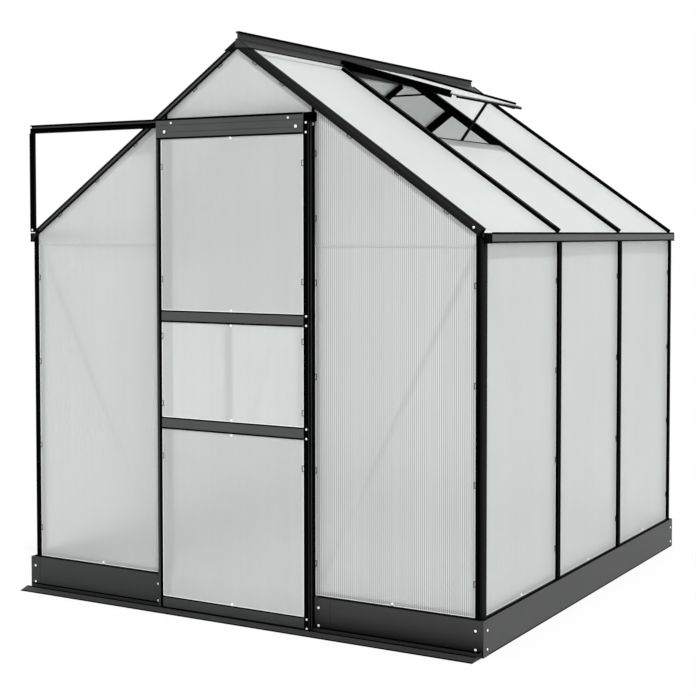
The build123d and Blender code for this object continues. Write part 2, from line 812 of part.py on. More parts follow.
# Pegs through the lower edge of each wall sheet
def panel_pegs():
    level = floor_bar_top + peg_lift
    gable_x = (jamb_offset + half_post - corner_face) / 2
    rear_y = 2 * mid_depth - front_glass
    pegs = [peg_head(face_plane(to_front, gable_x, front_glass, level))]
    pegs.append(peg_head(face_plane(to_rear, gable_x, rear_y, level)))
    for bay in (-1, 0, 1):
        plane = face_plane(to_right, side_glass, mid_depth + bay * side_bay, level)
        pegs.append(peg_head(plane))
    middle = peg_head(face_plane(to_rear, 0, rear_y, level))
    return with_left(pegs) + [middle]


# Bolts through the laps of the base, two above each other at every end of a plate
def base_bolts():
    corner = half_base - corner_bolt_inset
    near = front_face + corner_bolt_inset
    remote = rear_face - corner_bolt_inset
    inner = base_gauge
    places = [
        (to_front, lap_bolt_inset - half_base, front_face),
        (to_front, corner, front_face + inner),
        (to_front, -base_door_edge - left_bracket_bolt, front_face),
        (to_front, base_door_edge + right_bracket_bolt, front_face),
        (to_right, half_base, near),
        (to_right, half_base - inner, remote),
        (to_rear, corner, rear_face),
        (to_rear, -corner, rear_face - inner),
        (-to_right, -half_base, remote),
        (-to_right, inner - half_base, near),
    ]
    return [hex_head(face_plane(out, x, y, z)) for out, x, y in places for z in base_bolt_rows]


# Bolts at the rafter feet and the two that hold the door track
def frame_bolts():
    foot = roof_point(roof_bar_end - corner_face, tube_level + corner_face / 2, gable_front)
    right = hex_head(face_plane(to_front, foot.X, gable_front, foot.Z))
    rear = rear_copy(right)
    hanger_x = (hanger_left + hanger_right) / 2
    hanger = hex_head(face_plane(to_front, hanger_x, track_face, hanger_foot + hanger_spacer / 2))
    jamb = hex_head(face_plane(to_front, jamb_offset, gable_front, track_bottom - bolt_radius * 2))
    return [right, rear, left_copy(rear), hanger, jamb]


def door_left_stile():
    inner = door_left + left_stile_width
    return door_tube(door_left, inner, door_bottom, header_bottom)


def door_tube(x0, x1, z0, z1):
    wall = stile_wall
    outer = block(x0, x1, door_face, door_back, z0, z1)
    return outer - block(x0 + wall, x1 - wall, door_face + wall, door_back - wall, z0, z1)


# Closing stile: a tube with a thin flange behind it that laps the jamb
def door_right_stile():
    inner = door_right - right_stile_width
    edge = door_right - stile_flange
    flange = block(edge, door_right, door_back - rail_gauge, door_back, door_bottom, stile_top)
    return door_tube(inner, edge, door_bottom, stile_top) + flange


# Door rail folded to a channel: front plate and two flanges
def door_rail(x0, x1, bottom, top, top_flange):
    plate = block(x0, x1, door_face, door_face + rail_gauge, bottom, top)
    lower = block(x0, x1, door_face, door_back, bottom, bottom + rail_gauge)
    upper = block(x0, x1, door_face, door_face + top_flange, top - rail_gauge, top)
    return plate + lower + upper


def roller_columns():
    return (roller_middle - roller_spacing / 2, roller_middle + roller_spacing / 2)


# Header that carries the roller axles, with two shallow grooves along its face
def door_top_rail():
    right = door_right - right_stile_width
    rail = door_rail(door_left, right, header_bottom, header_top, header_return)
    for share in (1 / 3, 2 / 3):
        level = header_bottom + share * (header_top - header_bottom)
        rail -= block(door_left, right, door_face, door_face + rail_gauge / 3, level - rail_gauge / 2,
                      level + rail_gauge / 2)
    for x in roller_columns():
        plane = face_plane(to_front, x, door_face + rail_gauge, roller_height)
        rail -= round_head(plane, axle_radius, rail_gauge)
    return rail


def rail_levels():
    return (
        (door_bottom, door_bottom + bottom_rail_height),
        (lower_mid_rail, lower_mid_rail + mid_rail_height),
        (upper_mid_rail, upper_mid_rail + mid_rail_height),
    )


def door_cross_rails():
    left = door_left + left_stile_width
    right = door_right - right_stile_width
    return [door_rail(left, right, bottom, top, door_depth) for bottom, top in rail_levels()]


def door_panel_spans():
    bottoms = [top for bottom, top in rail_levels()]
    tops = [bottom for bottom, top in rail_levels()[1:]] + [header_bottom]
    return list(zip(bottoms, tops))


def door_panels():
    left = door_left + left_stile_width + sheet_gap
    right = door_right - right_stile_width - sheet_gap
    front = door_face + door_panel_recess
    sheets = []
    for bottom, top in door_panel_spans():
        sheets.append(block(left, right, front, front + panel_gauge, bottom + sheet_gap, top - sheet_gap))
    return sheets


# Bolts in the closing stile at each rail, and two larger ones in the header
def door_bolts():
    x = door_right - right_stile_width + stile_bolt_inset
    middles = [(bottom + top) / 2 for bottom, top in rail_levels()] + [(header_bottom + stile_top) / 2]
    bolts = []
    for middle in middles:
        for step in (-stile_bolt_step, stile_bolt_step):
            bolts.append(hex_head(face_plane(to_front, x, door_face, middle + step)))
    for column in (roller_columns()[0] - header_bolt_step, roller_columns()[1] + header_bolt_step):
        bolts.append(hex_head(face_plane(to_front, column, door_face, roller_height - header_bolt_step)))
    return bolts


def door_pegs():
    front = door_face + door_panel_recess
    middle = (door_left + door_right) / 2
    pegs = []
    for bottom, top in door_panel_spans():
        for level in (bottom + peg_radius + sheet_gap, top - peg_radius - sheet_gap):
            pegs.append(peg_head(face_plane(to_front, middle, front, level)))
    return pegs


def door_clips():
    front = door_face + door_panel_recess
    left = clip_column(to_front, door_left + left_stile_width, front, door_clip_rows, 1)
    return left + clip_column(to_front, door_right - right_stile_width, front, door_clip_rows, -1)


# Axle bolts: head on the header, shank through the track slot, collar behind the roller
def roller_axles():
    roller_back = track_face + track_gauge + roller_clearance * 3 + roller_width
    tip = roller_back + roller_clearance + bolt_height
    axles = []
    for x in roller_columns():
        shank = round_head(face_plane(to_front, x, tip, roller_height), axle_radius, tip - door_face)
        head = hex_head(face_plane(to_front, x, door_face, roller_height))
        collar = round_head(face_plane(to_front, x, tip, roller_height), bolt_radius, bolt_height)
        axles.append(shank + head + collar)
    return axles


def roller(x):
    back = track_face + track_gauge + roller_clearance * 3 + roller_width
    section = Circle(roller_radius) - Circle(axle_radius + running_fit)
    return extrude(face_plane(to_front, x, back, roller_height) * section, roller_width)


# Blocks under the door that run in the threshold groove
def door_guides():
    middle = (door_face + door_back) / 2
    guides = []
    for x in roller_columns():
        guides.append(block(x - guide_length / 2, x + guide_length / 2, middle - guide_width / 2,
                            middle + guide_width / 2, sill_floor + guide_clearance, door_bottom))
    return guides


# Turns a piece drawn on the closed roof into the propped position
def propped(shape):
    return shape.rotate(Axis(roof_point(hinge_station, hinge_height, 0), to_front), vent_angle)


def lid_span():
    return vent_front + lid_gap, vent_rear - lid_gap


# Head bar of the lid, with a hook that turns round the bead on the ridge
def vent_hinge_bar():
    front, rear = lid_span()
    bore = hinge_bead + running_fit
    outer = bore + hinge_wall
    mouth = 180 - degrees(hinge_lean())
    low = radians(mouth - vent_angle - hinge_mouth)
    high = radians(mouth + hinge_mouth)
    reach = outer * 3
    centre = Vector(hinge_station, hinge_height)
    wedge = outline(centre, centre + Vector(cos(low), sin(low)) * reach,
                    centre + Vector(cos(high), sin(high)) * reach)
    hook = Pos(hinge_station, hinge_height) * (Circle(outer) - Circle(bore)) - wedge
    seat = lid_top - panel_gauge
    plate = rect(hinge_station + bore + stack_gap, hinge_station + outer + lid_head, hinge_height - 1, seat)
    bar = across_slope(hook, front, rear)
    bar += across_slope(plate, front + lid_bar_width + stack_gap, rear - lid_bar_width - stack_gap)
    return propped(bar)


def hinge_lean():
    return atan2(bar_proud + ridge_wing_gauge / 2 - hinge_height, hinge_station - ridge_short_wing)


# Side bars, and the bottom plate with its skirt and the lugs for the stay
def vent_frame_bars():
    front, rear = lid_span()
    seat = lid_top - panel_gauge
    start = hinge_station + hinge_bead + running_fit + hinge_wall + sheet_gap
    low = lid_top - lid_bar_height
    side = across_slope(rect(start, lid_bar_end, low, seat), front, front + lid_bar_width)
    side += across_slope(rect(start, lid_bar_end, seat, lid_top + lid_rim), front, front + lid_edge)
    plate = rect(lid_bar_end, lid_end, seat - lid_plate_gauge, seat)
    skirt = rect(lid_end - lid_plate_gauge, lid_end, seat - lid_skirt, seat)
    bottom = across_slope(plate + skirt, front, rear)
    lug_half = stay_width / 2 + lug_clearance
    row = stay_row + stay_lean / 2
    lug = rect(stay_pivot_station - lug_width / 2, stay_pivot_station + lug_width / 2,
               stay_pivot_height - stay_eye, seat - lid_plate_gauge)
    pin = Pos(stay_pivot_station, stay_pivot_height) * Circle(stay_pin)
    for edge in (row - lug_half - lug_gauge, row + lug_half):
        bottom += across_slope(lug, edge, edge + lug_gauge)
    bottom += across_slope(pin, row - lug_half, row + lug_half)
    return [propped(side), propped(rear_copy(side)), propped(bottom)]


def vent_panel():
    front, rear = lid_span()
    inset = lid_edge + stack_gap
    start = hinge_station + hinge_bead + running_fit + hinge_wall + sheet_gap
    sheet = rect(start, lid_end, lid_top - panel_gauge, lid_top)
    return propped(across_slope(sheet, front + inset, rear - inset))


# Slope station and height of a point of the lid once it is propped open
def propped_point(station, height):
    turn = radians(vent_angle)
    along = station - hinge_station
    out = height - hinge_height
    return Vector(hinge_station + along * cos(turn) - out * sin(turn),
                  hinge_height + along * sin(turn) + out * cos(turn))


# Flat stay with a row of holes, hung from the lid and standing against the vent sill
def vent_stay():
    pivot = propped_point(stay_pivot_station, stay_pivot_height)
    foot = Vector(vent_sill_station - stay_clearance - stay_gauge / 2, -stay_foot_drop)
    row = stay_row + stay_lean / 2
    half = stay_width / 2
    head = roof_point(pivot.X, pivot.Y, row)
    tip = roof_point(foot.X, foot.Y, row - stay_lean)
    run = tip - head
    flat = Plane(origin=head, x_dir=run, z_dir=run.cross(to_rear))
    stay = extrude(flat * rect(0, run.length, -half, half), stay_gauge / 2, both=True)
    for number in range(stay_holes):
        along = run.length - stay_hole_pitch * (number + 1 / 3)
        stay -= extrude(flat * Pos(along, 0) * Circle(stay_hole_radius), stay_gauge, both=True)
    eye = Pos(pivot.X, pivot.Y) * Circle(stay_eye)
    bore = Pos(pivot.X, pivot.Y) * Circle(stay_pin + running_fit)
    reach = half + lug_clearance
    stay += across_slope(eye, row - half, row + half)
    return stay - across_slope(bore, row - reach, row + reach)


def roof_bars():
    return [roof_bar(row) for row in stud_rows]


def all_parts():
    post = front_right_post()
    jamb = gable_upright(jamb_face, 0, base_height)
    stud = rear_copy(gable_upright(bar_face, floor_bar_top, floor_bar_top))
    rafter = front_right_rafter()
    gutter = right_gutter()
    left_x, right_x = roller_columns()
    parts = base_plates()
    parts |= {
        "base_end_brackets": base_brackets(),
        "base_bolts": base_bolts(),
        "door_sill_track": door_sill(),
        "front_right_post": post,
        "front_left_post": [left_copy(piece) for piece in post],
        "rear_right_post": [rear_copy(piece) for piece in post],
        "rear_left_post": [rear_copy(left_copy(piece)) for piece in post],
        "right_wall_studs": right_studs(),
        "left_wall_studs": [left_copy(bar) for bar in right_studs()],
        "rear_wall_studs": both_sides(stud),
        "right_door_jamb": jamb,
        "left_door_jamb": left_copy(jamb),
        "door_lintel": door_lintel(),
        "floor_bars": floor_bars(),
        "right_gutter": gutter,
        "left_gutter": [left_copy(piece) for piece in gutter],
        "gutter_end_caps": gutter_caps(),
        "ridge_beam": ridge_beam(),
        "front_rafters": both_sides(rafter),
        "rear_rafters": both_sides(rear_copy(rafter)),
        "right_roof_bars": roof_bars(),
        "left_roof_bars": [left_copy(bar) for bar in roof_bars()],
        "ridge_ties": ridge_ties(),
        "vent_sill_bar": vent_sill(),
        "upper_door_track": door_track(),
        "track_hanger_post": track_hanger(),
        "wall_braces": wall_braces(),
        "right_wall_panels": right_wall_panels(),
        "left_wall_panels": [left_copy(sheet) for sheet in right_wall_panels()],
        "front_wall_panels": wall_sheets(jamb_face),
        "front_gable_panels": front_gable_panels(),
        "rear_wall_panels": rear_wall_panels(),
        "rear_gable_panels": rear_gable_panels(),
        "right_roof_panels": right_roof_panels(True),
        "left_roof_panels": [left_copy(sheet) for sheet in right_roof_panels(False)],
        "panel_joint_strips": joint_strips(),
        "wall_clips": wall_clips(),
        "panel_pegs": panel_pegs(),
        "frame_bolts": frame_bolts(),
        "door_left_stile": door_left_stile(),
        "door_right_stile": door_right_stile(),
        "door_top_rail": door_top_rail(),
        "door_cross_rails": door_cross_rails(),
        "door_panels": door_panels(),
        "door_bolts": door_bolts(),
        "door_clips": door_clips(),
        "door_pegs": door_pegs(),
        "roller_axles": roller_axles(),
        "door_guides": door_guides(),
        "left_roller": roller(left_x),
        "right_roller": roller(right_x),
        "vent_hinge_bar": vent_hinge_bar(),
        "vent_frame_bars": vent_frame_bars(),
        "vent_panel": vent_panel(),
        "vent_stay": vent_stay(),
    }
    return parts


os.makedirs("parts", exist_ok=True)
for node, pieces in all_parts().items():
    if not isinstance(pieces, list):
        pieces = [pieces]
    solids = [solid for piece in pieces for solid in piece.solids()]
    shape = solids[0] if len(solids) == 1 else Compound(solids)
    export_step(shape, f"parts/{node}.step")
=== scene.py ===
import json
import math

import bmesh
import bpy
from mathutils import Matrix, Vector


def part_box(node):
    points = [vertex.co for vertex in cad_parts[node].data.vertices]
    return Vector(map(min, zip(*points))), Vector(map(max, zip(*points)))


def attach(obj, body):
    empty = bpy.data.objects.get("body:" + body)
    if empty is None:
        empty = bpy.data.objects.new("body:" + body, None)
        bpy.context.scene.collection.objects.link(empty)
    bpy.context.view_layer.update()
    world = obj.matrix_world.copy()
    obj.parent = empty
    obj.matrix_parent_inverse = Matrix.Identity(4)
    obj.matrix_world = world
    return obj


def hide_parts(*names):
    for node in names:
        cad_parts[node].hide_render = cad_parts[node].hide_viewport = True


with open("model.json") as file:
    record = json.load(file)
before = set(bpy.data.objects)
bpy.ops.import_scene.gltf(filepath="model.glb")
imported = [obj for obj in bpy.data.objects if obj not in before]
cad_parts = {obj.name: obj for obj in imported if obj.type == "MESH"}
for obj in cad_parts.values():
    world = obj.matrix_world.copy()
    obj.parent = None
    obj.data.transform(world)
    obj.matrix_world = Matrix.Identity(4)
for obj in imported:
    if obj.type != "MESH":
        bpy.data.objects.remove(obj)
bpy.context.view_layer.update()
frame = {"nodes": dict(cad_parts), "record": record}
nodes = frame["nodes"]
bodyOf = {node: body for body, names in frame["record"]["behaviour"]["bodies"].items() for node in names}
scene = bpy.context.scene
print("greenhouse frame loaded:", len(nodes), "nodes")


# shader helpers
def newFinish(name):
    finish = bpy.data.materials.new(name)
    finish.use_nodes = True
    tree = finish.node_tree
    return finish, tree, tree.nodes["Principled BSDF"]


def addNode(tree, kind, settings=None, values=None):
    node = tree.nodes.new(kind)
    for key, value in (settings or {}).items():
        setattr(node, key, value)
    for key, value in (values or {}).items():
        node.inputs[key].default_value = value
    return node


def noise(tree, place, scale, detail):
    node = addNode(tree, "ShaderNodeTexNoise", values={"Scale": scale, "Detail": detail})
    tree.links.new(place, node.inputs["Vector"])
    return node.outputs["Fac"]


def ramp(tree, source, stops):
    node = tree.nodes.new("ShaderNodeValToRGB")
    elements = node.color_ramp.elements
    while len(elements) < len(stops):
        elements.new(0.5)
    for element, (place, tone) in zip(elements, stops):
        element.position = place
        element.color = (*tone, 1) if isinstance(tone, tuple) else (tone, tone, tone, 1)
    tree.links.new(source, node.inputs[0])
    return node.outputs["Color"]


def spread(tree, source, low, high, toLow=0.0, toHigh=1.0):
    limits = {"From Min": low, "From Max": high, "To Min": toLow, "To Max": toHigh}
    node = addNode(tree, "ShaderNodeMapRange", values=limits)
    tree.links.new(source, node.inputs["Value"])
    return node.outputs["Result"]


def multiply(tree, first, second):
    node = addNode(tree, "ShaderNodeMix", {"data_type": "RGBA", "blend_type": "MULTIPLY"}, {"Factor": 1.0})
    tree.links.new(first, node.inputs[6])
    tree.links.new(second, node.inputs[7])
    return node.outputs[2]


def joined(tree, operation, *sources):
    node = addNode(tree, "ShaderNodeMath", {"operation": operation})
    for source, socket in zip(sources, node.inputs):
        tree.links.new(source, socket)
    return node.outputs[0]


def bumpFrom(tree, shader, height, strength, distance):
    node = addNode(tree, "ShaderNodeBump", values={"Strength": strength, "Distance": distance})
    tree.links.new(height, node.inputs["Height"])
    tree.links.new(node.outputs["Normal"], shader.inputs["Normal"])


def tinted(tone, share):
    return tuple(value * share for value in tone)


# powder coat: cloudy tone, fine speckle and a light orange peel
coatLook = {"cloudScale": 6.0, "speckScale": 850.0, "toneSpread": 0.14, "rough": 0.5, "roughSpread": 0.06,
            "specular": 0.2, "peel": 0.12, "peelDepth": 0.0006}


def coatFinish(name, tone, changes=None):
    look = coatLook | (changes or {})
    finish, tree, shader = newFinish(name)
    place = addNode(tree, "ShaderNodeTexCoord").outputs["Object"]
    cloud = noise(tree, place, look["cloudScale"], 3.0)
    speck = noise(tree, place, look["speckScale"], 2.0)
    darker, paler = tinted(tone, 1 - look["toneSpread"]), tinted(tone, 1 + look["toneSpread"])
    tree.links.new(ramp(tree, cloud, ((0.3, darker), (0.7, paler))), shader.inputs["Base Color"])
    smooth, dull = look["rough"] - look["roughSpread"], look["rough"] + look["roughSpread"]
    tree.links.new(spread(tree, speck, 0.3, 0.7, smooth, dull), shader.inputs["Roughness"])
    shader.inputs["Specular IOR Level"].default_value = look["specular"]
    bumpFrom(tree, shader, speck, look["peel"], look["peelDepth"])
    return finish


# bars: black, with painted light: the sides that face right are painted a shade paler, as their lit side
def barFinish(name, dark, lit):
    finish = coatFinish(name, dark, {"specular": 0.007, "rough": 0.5})
    tree = finish.node_tree
    shader = tree.nodes["Principled BSDF"]
    toned = shader.inputs["Base Color"].links[0].from_socket
    parts = addNode(tree, "ShaderNodeSeparateXYZ")
    tree.links.new(addNode(tree, "ShaderNodeNewGeometry").outputs["Normal"], parts.inputs[0])
    mix = addNode(tree, "ShaderNodeMix", {"data_type": "RGBA"})
    mix.inputs[7].default_value = (*lit, 1)
    tree.links.new(spread(tree, parts.outputs["X"], 0.2, 0.9), mix.inputs[0])
    tree.links.new(toned, mix.inputs[6])
    tree.links.new(mix.outputs[2], shader.inputs["Base Color"])
    return finish


# blackCoat and postCoat: the second tone is painted light on the sides that face right
blackCoat = barFinish("blackBarCoat", (0.0006, 0.0006, 0.0006), (0.0073, 0.0075, 0.0075))
# bevelled bar edges: a paler coat that paints a highlight along them
edgeHighlightCoat = coatFinish("barEdgePaintedHighlight", (0.0024, 0.0025, 0.0025), {"specular": 0.015})
# black coat: the gutter end caps' own colour, and painted shade on the black beads and bolt rings drawn with
# it
capAndShadeCoat = coatFinish("blackCapAndShadeCoat", (0.0006, 0.0006, 0.0006), {"specular": 0.008, "rough": 0.6})
postCoat = barFinish("cornerBarCoat", (0.0006, 0.0006, 0.0006), (0.0145, 0.0150, 0.0149))
# pale, bright and dim rib coats: painted highlights along the ribs and grooves of the black bars
ribHighlightCoat = coatFinish("paleRibHighlightCoat", (0.036, 0.037, 0.037), {"specular": 0.08})
brightRibHighlightCoat = coatFinish("brightRibHighlightCoat", (0.070, 0.072, 0.072), {"specular": 0.08})
dimRibHighlightCoat = coatFinish("dimRibHighlightCoat", (0.014, 0.0145, 0.0145), {"specular": 0.06})
# gutters: the bars' dark coat painted mid grey, as their lit faces look: painted light
gutterCoat = coatFinish("gutterCoat", (0.081, 0.083, 0.083), {"toneSpread": 0.06})
sillCoat = coatFinish("sillCoat", (0.026, 0.027, 0.027), {"toneSpread": 0.08})


# front base plates, with painted shade: darker towards the ground, less so left of the door; the right corner
# takes the side's painted lit tone
frontBaseLook = {
    "height": 0.12,
    "rightStops": ((0.16, 0.003), (0.24, 0.010), (0.38, 0.021), (0.60, 0.034), (0.9, 0.041)),
    "leftStops": ((0.05, (0.028, 0.029, 0.029)), (0.35, (0.038, 0.039, 0.039)), (0.9, (0.041, 0.042, 0.042))),
    "doorway": (-0.02, 0.02),
    "corner": (0.9531, 0.9535),
    "cornerTone": (0.061, 0.062, 0.062, 1),
    "cloudScale": 7.0,
    "rough": (0.46, 0.58),
    "specular": 0.15,
}


def frontBaseFinish():
    look = frontBaseLook
    finish, tree, shader = newFinish("frontBaseCoat")
    place = addNode(tree, "ShaderNodeTexCoord").outputs["Object"]
    parts = addNode(tree, "ShaderNodeSeparateXYZ")
    tree.links.new(place, parts.inputs[0])
    height = spread(tree, parts.outputs["Z"], 0.0, look["height"])
    cloud = ramp(tree, noise(tree, place, look["cloudScale"], 3.0), ((0.3, 0.92), (0.7, 1.0)))
    sides = addNode(tree, "ShaderNodeMix", {"data_type": "RGBA"})
    tree.links.new(spread(tree, parts.outputs["X"], *look["doorway"]), sides.inputs[0])
    tree.links.new(ramp(tree, height, look["leftStops"]), sides.inputs[6])
    tree.links.new(ramp(tree, height, look["rightStops"]), sides.inputs[7])
    mix = addNode(tree, "ShaderNodeMix", {"data_type": "RGBA"})
    mix.inputs[7].default_value = look["cornerTone"]
    tree.links.new(spread(tree, parts.outputs["X"], *look["corner"]), mix.inputs[0])
    tree.links.new(multiply(tree, sides.outputs[2], cloud), mix.inputs[6])
    tree.links.new(mix.outputs[2], shader.inputs["Base Color"])
    speck = noise(tree, place, coatLook["speckScale"], 2.0)
    tree.links.new(spread(tree, speck, 0.3, 0.7, *look["rough"]), shader.inputs["Roughness"])
    shader.inputs["Specular IOR Level"].default_value = look["specular"]
    bumpFrom(tree, shader, speck, coatLook["peel"], coatLook["peelDepth"])
    return finish


frontBaseCoat = frontBaseFinish()


# coat whose tone changes along a direction, by place or by the way a face points: painted light and shade
def changingCoat(name, source, direction, limits, stops, specular=0.15):
    finish = coatFinish(name, (1.0, 1.0, 1.0), {"toneSpread": 0.06, "specular": specular})
    tree = finish.node_tree
    shader = tree.nodes["Principled BSDF"]
    cloud = shader.inputs["Base Color"].links[0].from_socket
    along = addNode(tree, "ShaderNodeVectorMath", {"operation": "DOT_PRODUCT"})
    along.inputs[1].default_value = direction
    tree.links.new(addNode(tree, source[0]).outputs[source[1]], along.inputs[0])
    tone = ramp(tree, spread(tree, along.outputs["Value"], *limits), stops)
    tree.links.new(multiply(tree, tone, cloud), shader.inputs["Base Color"])
    return finish


byPlace, byFace = ("ShaderNodeTexCoord", "Object"), ("ShaderNodeNewGeometry", "Normal")
# door rails: the dark coat painted grey as their lit faces look, and darker towards the ground as painted
# shade
railStops = ((0.05, (0.034, 0.035, 0.035)), (0.40, (0.046, 0.048, 0.048)), (0.9, (0.069, 0.072, 0.072)))
railReach = (0.0, 0.12)
railCoat = changingCoat("railCoat", byPlace, (0, 0, 1), railReach, railStops)
# ridge: painted light, faces that point sideways painted paler than faces that point up
ridgeStops = ((0.2, (0.037, 0.038, 0.039)), (0.8, (0.0135, 0.0140, 0.0140)))
ridgeCoat = changingCoat("ridgeCoat", byFace, (0, 0, 1), (0.0, 1.0), ridgeStops)
# side and rear base plates: painted light, faces that face the front painted darker than the lit sides
baseStops = ((0.2, (0.060, 0.061, 0.061)), (0.8, (0.036, 0.037, 0.037)))
sideBaseCoat = changingCoat("sideBaseCoat", byFace, (0, -1, 0), (0.0, 1.0), baseStops)


# metal with a fine drawn grain
def metalFinish(name, tone, rough, metallic):
    finish, tree, shader = newFinish(name)
    place = addNode(tree, "ShaderNodeTexCoord").outputs["Object"]
    grain = noise(tree, place, 220.0, 4.0)
    tree.links.new(ramp(tree, grain, ((0.35, tone * 0.86), (0.65, tone))), shader.inputs["Base Color"])
    tree.links.new(spread(tree, grain, 0.3, 0.7, rough - 0.08, rough + 0.1), shader.inputs["Roughness"])
    shader.inputs["Metallic"].default_value = metallic
    return finish


braceMetal = metalFinish("bareBraceMetal", 0.78, 0.6, 0.25)
zincHead = metalFinish("zincBoltHead", 0.95, 0.35, 0.2)
wireMetal = metalFinish("darkSpringWire", 0.010, 0.5, 0.2)


# moulded plastic with a fine mould grain
def plasticFinish(name, tone, rough):
    finish, tree, shader = newFinish(name)
    place = addNode(tree, "ShaderNodeTexCoord").outputs["Object"]
    grain = noise(tree, place, 420.0, 2.0)
    tree.links.new(ramp(tree, grain, ((0.3, tone * 0.93), (0.7, tone))), shader.inputs["Base Color"])
    tree.links.new(spread(tree, grain, 0.3, 0.7, rough - 0.05, rough + 0.08), shader.inputs["Roughness"])
    shader.inputs["Specular IOR Level"].default_value = 0.12
    bumpFrom(tree, shader, grain, 0.08, 0.0004)
    return finish


whitePeg = plasticFinish("whitePegPlastic", 0.93, 0.4)
edgeTape = plasticFinish("paleEdgeTape", 0.97, 0.5)
runnerPlastic = plasticFinish("blackRunnerPlastic", 0.02, 0.45)


# twin-wall sheet, outer skin: the flute layer is 0 on a web and 1 between two webs
def outerSkin(name, look):
    finish, tree, shader = newFinish(name)
    place = addNode(tree, "ShaderNodeTexCoord").outputs["Object"]
    flute = addNode(tree, "ShaderNodeAttribute", {"attribute_name": "flute"}).outputs["Fac"]
    streak = addNode(tree, "ShaderNodeAttribute", {"attribute_name": "streak"}).outputs["Fac"]
    webs = ramp(tree, flute, ((0.0, tinted(look["tone"], 1 - look["webShade"])), (1.0, look["tone"])))
    streaks = ramp(tree, streak, ((0.0, 1.0 - look["streakShade"]), (1.0, 1.0)))
    haze = ramp(tree, noise(tree, place, 2.2, 2.0), ((0.3, 0.98), (0.7, 1.0)))
    tree.links.new(multiply(tree, multiply(tree, webs, streaks), haze), shader.inputs["Base Color"])
    onWeb = look["rough"] + look["webRough"]
    tree.links.new(spread(tree, flute, 0.0, 1.0, onWeb, look["rough"]), shader.inputs["Roughness"])
    shader.inputs["Transmission Weight"].default_value = look["through"]
    shader.inputs["IOR"].default_value = look["bend"]
    shader.inputs["Specular IOR Level"].default_value = look["specular"]
    return finish


# inner skin: lets light through and scatters it
innerLook = {"web": (0.90, 0.92, 0.915), "between": (0.95, 0.97, 0.965), "webRough": 0.05, "bend": 1.2}


def innerSkin(name, rough):
    look = innerLook
    finish, tree, shader = newFinish(name)
    flute = addNode(tree, "ShaderNodeAttribute", {"attribute_name": "flute"}).outputs["Fac"]
    tone = ramp(tree, flute, ((0.0, look["web"]), (1.0, look["between"])))
    tree.links.new(tone, shader.inputs["Base Color"])
    tree.links.new(spread(tree, flute, 0.0, 1.0, rough + look["webRough"], rough), shader.inputs["Roughness"])
    shader.inputs["Transmission Weight"].default_value = 1.0
    shader.inputs["IOR"].default_value = look["bend"]
    return finish


# the tones of these copies of the one hazy sheet material differ as painted light and shade
sheetLook = {"tone": (0.805, 0.825, 0.82), "webShade": 0.03, "streakShade": 0.025, "rough": 0.5,
             "webRough": 0.06, "through": 0.42, "bend": 1.2, "specular": 0.3}
frontLook = sheetLook | {"tone": (0.77, 0.79, 0.785), "streakShade": 0.02}
doorLook = sheetLook | {"tone": (0.735, 0.755, 0.750), "streakShade": 0.02}
linedLook = sheetLook | {"tone": (0.96, 0.98, 0.975), "webShade": 0.54, "streakShade": 0.06, "through": 0.34}
roofLook = sheetLook | {"tone": (0.83, 0.85, 0.845), "webShade": 0.02, "streakShade": 0.015}
clearLook = sheetLook | {"tone": (0.755, 0.78, 0.775), "rough": 0.03, "through": 0.32}
hazySkin = innerSkin("hazyInnerSkin", 0.45)
clearSkin = innerSkin("clearInnerSkin", 0.02)
wallSheet = outerSkin("wallSheetSkin", sheetLook)
frontSheet = outerSkin("frontSheetSkin", frontLook)
doorSheet = outerSkin("doorSheetSkin", doorLook)
linedSheet = outerSkin("linedSheetSkin", linedLook)
roofSheet = outerSkin("roofSheetSkin", roofLook)
clearSheet = outerSkin("clearSheetSkin", clearLook)
print("finishes made")


def putPiece(name, bm, finishes, body):
    mesh = bpy.data.meshes.new(name)
    bm.to_mesh(mesh)
    bm.free()
    for finish in finishes:
        mesh.materials.append(finish)
    piece = bpy.data.objects.new(name, mesh)
    scene.collection.objects.link(piece)
    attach(piece, body)
    return piece


def weldedCopy(node):
    bm = bmesh.new()
    bm.from_mesh(nodes[node].data)
    bmesh.ops.remove_doubles(bm, verts=bm.verts, dist=1e-6)
    return bm


# lowest and highest corner of every loose solid of a CAD node
def solidBoxes(node):
    bm = weldedCopy(node)
    boxes = []
    left = set(bm.verts)
    while left:
        todo = [left.pop()]
        points = []
        while todo:
            vert = todo.pop()
            points.append(vert.co.copy())
            linked = [edge.other_vert(vert) for edge in vert.link_edges]
            fresh = [other for other in linked if other in left]
            left.difference_update(fresh)
            todo.extend(fresh)
        low = Vector([min(point[axis] for point in points) for axis in range(3)])
        high = Vector([max(point[axis] for point in points) for axis in range(3)])
        boxes.append((low, high))
    bm.free()
    return sorted(boxes, key=lambda box: tuple(box[0]))


# sheets: each CAD plate is cut along its flutes and pressed in between the webs
fluteSizes = {"pitch": 0.0076, "dip": 0.0003, "clearDip": 0.00004}


